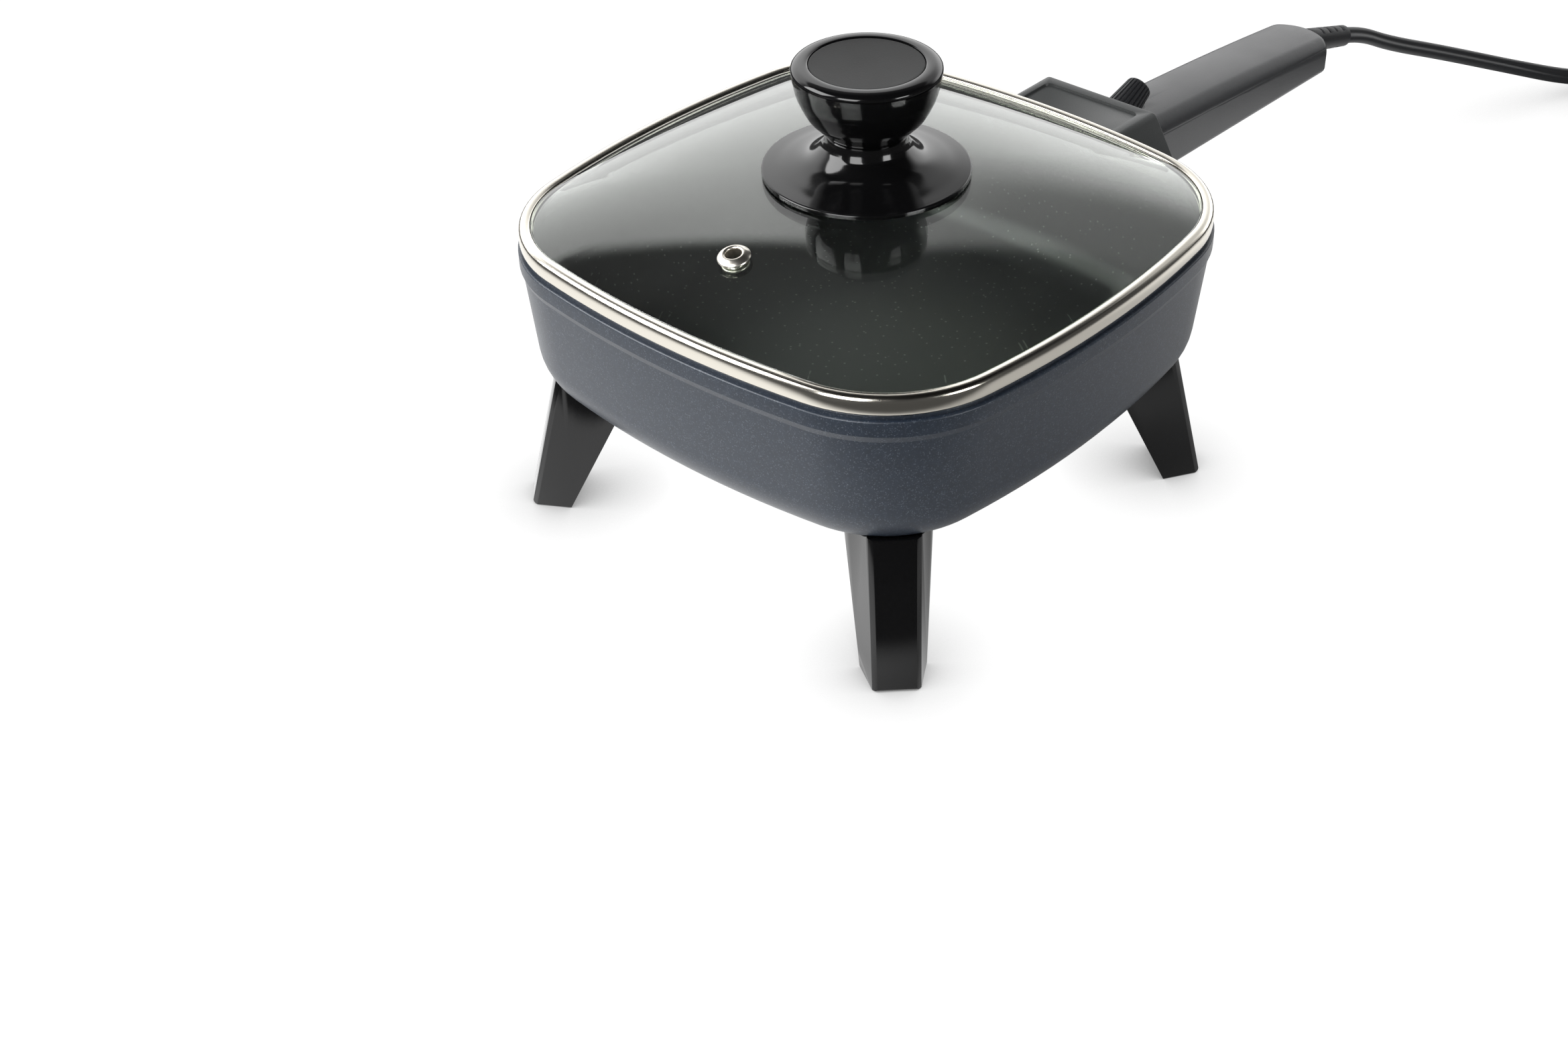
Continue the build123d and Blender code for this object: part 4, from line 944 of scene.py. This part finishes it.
# %% The line of the cord
def nurbs_line(points):
    """Points along the NURBS spline that has these control points, in metres."""
    curve = bpy.data.curves.new("line", "CURVE")
    curve.dimensions = "3D"
    curve.resolution_u = 6
    spline = curve.splines.new("NURBS")
    spline.points.add(len(points) - 1)
    for dot, point in zip(spline.points, points):
        dot.co = (*at(*point), 1)
    spline.order_u = 3
    spline.use_endpoint_u = True
    holder = bpy.data.objects.new("line", curve)
    bpy.context.scene.collection.objects.link(holder)
    evaluated = holder.evaluated_get(bpy.context.evaluated_depsgraph_get())
    bare = bpy.data.meshes.new_from_object(evaluated)
    line = np.array([v.co[:] for v in bare.vertices])
    bpy.data.objects.remove(holder)
    bpy.data.meshes.remove(bare)
    return line


cord_line = nurbs_line(route)
cord_length = float(np.linalg.norm(np.diff(cord_line, axis=0), axis=1).sum())
print("cord", round(cord_length, 3), "m,", len(cord_line), "points")

# %% Flat two-core section carried along the line
CORE, APART, TO_GROOVE = 1.8, 1.45, 128
section = []
for sign in (1, -1):
    for a in np.radians(np.linspace(-TO_GROOVE, TO_GROOVE, 15)):
        section.append((sign * (APART + CORE * math.cos(a)), sign * CORE * math.sin(a)))
heading = np.gradient(cord_line, axis=0)
heading /= np.linalg.norm(heading, axis=1)[:, None]
flat_wide = np.cross(heading, (0, 0, 1))
flat_wide /= np.linalg.norm(flat_wide, axis=1)[:, None]
upward = np.cross(flat_wide, heading)
gone = np.append(0, np.cumsum(np.linalg.norm(np.diff(cord_line, axis=0), axis=1)))
lean_at = [0, 0.1, 0.18, cord_length - 0.045, cord_length]
lean = np.radians(np.interp(gone, lean_at, [-44, -44, -90, -90, 0]))[:, None]
wide = np.cos(lean) * flat_wide + np.sin(lean) * upward
thick = np.cos(lean) * upward - np.sin(lean) * flat_wide
shape = bmesh.new()
rings = [
    [shape.verts.new(p + MM * (u * w + v * t)) for u, v in section]
    for p, w, t in zip(cord_line, wide, thick)
]
for low, high in zip(rings, rings[1:]):
    for i in range(len(section)):
        j = (i + 1) % len(section)
        shape.faces.new((low[i], low[j], high[j], high[i]))
cord = show("flat_cord", to_mesh(shape, "flat_cord", 60, fill=True), "probe",
            ["cord_run", "cord_coil", "cord_tail"])
finish_with(cord, cord_vinyl)
print("cord", len(cord.data.polygons), "faces")

# %% [markdown]
# ## Floor, world and lamps
# The floor is white. The camera sees it nearly as white as paper, a glow with painted soft shade
# close to the feet and the cord. Gloss, steel and glass mirror a studio instead: a bright
# backdrop behind the skillet up to 40 degrees above the table, dimmer on the right, a
# dark ceiling above it, and a table that ends a hand's width in front of the skillet.
# The table is brightest next to the handle and has a painted shadow under the pan. Light
# that comes through the lid is stronger than what falls on the outside, so the pan's floor shows.

# %% Floor
VIEW = (look.x, look.y, 0)
SIDE = (look.y, -look.x, 0)
ALONG_HANDLE = (1, 0, 0)
WHITE = (1, 1, 1, 1)
FLOOR_REACH = 6
SEEN_SHARE, PAPER, SHADE_REACH = 0.93, 1.1, 0.032
TABLE_DIM, PAN_SHADOW_DEPTH = 0.08, 0.6


def ramp(tree, value, start, end, low=0.0, high=1.0):
    """A smooth step from low to high as a value goes from start to end."""
    return mapped(tree, value, start, end, low, high, interpolation_type="SMOOTHSTEP")


def along(tree, vector, way):
    """How far a vector reaches in a direction."""
    pairs = [(0, vector), (1, Vector(way).normalized())]
    return add_node(tree, "ShaderNodeVectorMath", pairs, operation="DOT_PRODUCT").outputs["Value"]


def either_shader(tree, factor, first, second):
    pairs = [(0, factor), (1, first.outputs[0]), (2, second.outputs[0])]
    return add_node(tree, "ShaderNodeMixShader", pairs)


def looked_at(tree, rays):
    """1 where the camera sees a surface, straight or through glass."""
    straight = maths(tree, "LESS_THAN", rays["Diffuse Depth"], 0.5)
    through = product(tree, rays["Is Transmission Ray"], straight)
    return maths(tree, "MAXIMUM", rays["Is Camera Ray"], through)


floor_shape = bmesh.new()
bmesh.ops.create_grid(floor_shape, x_segments=1, y_segments=1, size=FLOOR_REACH)
mesh = bpy.data.meshes.new("floor")
floor_shape.to_mesh(mesh)
floor_shape.free()
floor = bpy.data.objects.new("floor", mesh)
bpy.context.scene.collection.objects.link(floor)
paper = bpy.data.materials.new("White paper sweep")
paper.use_nodes = True
tree = paper.node_tree
tree.nodes.clear()
rays = add_node(tree, "ShaderNodeLightPath").outputs
place = place_on(tree)
# what the camera sees: mostly a glow, with painted shade where something is close
seen = product(tree, looked_at(tree, rays), SEEN_SHARE)
shade = add_node(tree, "ShaderNodeAmbientOcclusion", [("Distance", SHADE_REACH)], samples=12)
glow_with_painted_shade = product(tree, shade.outputs["AO"], PAPER)
matt = add_node(tree, "ShaderNodeBsdfDiffuse", [("Color", colour("#f4f4f4"))])
glow = add_node(tree, "ShaderNodeEmission", [("Color", WHITE), ("Strength", glow_with_painted_shade)])
from_pan = add_node(
    tree, "ShaderNodeVectorMath", [(0, place), (1, at(0, 0, 0))], operation="DISTANCE"
).outputs["Value"]
# what gloss mirrors: the table top, with its brightness laid out in metres round the skillet
front = ramp(tree, along(tree, place, VIEW), -0.285, -0.19)
aside = along(tree, place, SIDE)
handle_side = ramp(tree, along(tree, place, ALONG_HANDLE), 0.06, 0.18, 1.0, 2.2)
side = ramp(tree, aside, -0.1, 0.05, 1.0, 0.42)
near_pan = ramp(tree, from_pan, 0.3, 0.42, 1.15, 0.0)
# painted shadow of the pan on the mirrored table, strongest close to the pan's axis
painted_pan_shadow = ramp(tree, from_pan, 0.1, 0.18, PAN_SHADOW_DEPTH, 0.0)
clear = maths(tree, "SUBTRACT", 1.0, product(tree, ramp(tree, aside, -0.1, -0.02), painted_pan_shadow))
table_top = maths(tree, "ADD", TABLE_DIM, product(tree, near_pan, front, handle_side, side, clear))
mirrored = add_node(tree, "ShaderNodeEmission", [("Color", WHITE), ("Strength", table_top)])
table = either_shader(tree, rays["Is Glossy Ray"], either_shader(tree, seen, matt, glow), mirrored)
add_node(tree, "ShaderNodeOutputMaterial", [("Surface", table.outputs[0])])
floor.data.materials.append(paper)
print("floor", paper.name)

# %% World
AMBIENT, THROUGH_GLASS, RIGHT_DIM, LEVEL = 0.38, 1.6, 0.58, 0.12
world = bpy.data.worlds.new("studio")
bpy.context.scene.world = world
world.use_nodes = True
tree = world.node_tree
tree.nodes.clear()
rays = add_node(tree, "ShaderNodeLightPath").outputs
towards = add_node(tree, "ShaderNodeTexCoord").outputs["Generated"]
height = add_node(tree, "ShaderNodeSeparateXYZ", [("Vector", towards)]).outputs["Z"]
# the mirrored studio, by direction: height is the sine of the angle above the table
behind = ramp(tree, along(tree, towards, VIEW), 0.25, 0.58, 0.03, 1.0)
low_wall = ramp(tree, height, 0.2, 0.6, 1.95, 1.75)
ceiling = ramp(tree, height, 0.642, 0.685, 1.0, 0.1)
rightwards = ramp(tree, along(tree, towards, SIDE), -0.15, 0.25)
on_right = product(tree, rightwards, ramp(tree, height, 0.3, 0.55), RIGHT_DIM)
studio = product(tree, low_wall, ceiling, behind, maths(tree, "SUBTRACT", 1.0, on_right))
# the plain light on everything, and more of it through the glass
through_glass = product(tree, rays["Is Transmission Ray"], THROUGH_GLASS)
under_glass = maths(tree, "ADD", AMBIENT, through_glass)
plain, mirrored, shown = (
    add_node(tree, "ShaderNodeBackground", [("Color", WHITE), ("Strength", strength)])
    for strength in (under_glass, studio, 1.0)
)
# which ray gets which: the camera sees white, straight or level through the glass
low = maths(tree, "LESS_THAN", height, LEVEL)
inner = product(tree, rays["Is Transmission Ray"], looked_at(tree, rays))
bounced = maths(tree, "MAXIMUM", rays["Is Glossy Ray"], inner)
level_look = maths(tree, "MAXIMUM", rays["Is Camera Ray"], product(tree, inner, low))
sky = either_shader(tree, level_look, either_shader(tree, bounced, plain, mirrored), shown)
add_node(tree, "ShaderNodeOutputWorld", [("Surface", sky.outputs[0])])
print("world", len(tree.nodes), "nodes")


# %% Lamps
LAMPS_AIM = (0, 0, 110)


def softbox(name, turn, up, away, size, power, only):
    """An area lamp at a turn and a height in degrees, aimed at the middle of the lid."""
    a, b = math.radians(turn), math.radians(up)
    aim = at(*LAMPS_AIM)
    where = aim + away * Vector((math.cos(a) * math.cos(b), math.sin(a) * math.cos(b), math.sin(b)))
    lamp = bpy.data.lights.new(name, "AREA")
    lamp.shape, lamp.size, lamp.size_y, lamp.energy = "RECTANGLE", size[0], size[1], power
    obj = bpy.data.objects.new(name, lamp)
    bpy.context.scene.collection.objects.link(obj)
    facing = (aim - where).to_track_quat("-Z", "Y").to_matrix().to_4x4()
    obj.matrix_world = Matrix.Translation(where) @ facing
    obj.visible_glossy = only != "diffuse"
    obj.visible_transmission = only != "diffuse"
    obj.visible_diffuse = only != "gloss"


softbox("key_left", 165, 45, 1.5, (1.3, 1.3), 20.5, "diffuse")
softbox("back_panel", 52, 27, 1.6, (1.8, 0.8), 7, "diffuse")
softbox("front_fill", -112, 38, 1.4, (0.8, 0.6), 1.2, "diffuse")
softbox("window_left", 137, 29, 1.2, (0.82, 0.92), 18, "gloss")
softbox("window_front", -167, 21, 1.2, (0.6, 0.8), 11, "gloss")
softbox("window_low", -88, 10, 1.2, (0.4, 0.4), 4, "gloss")
bpy.context.scene.view_settings.view_transform = "Standard"
print("six softboxes")
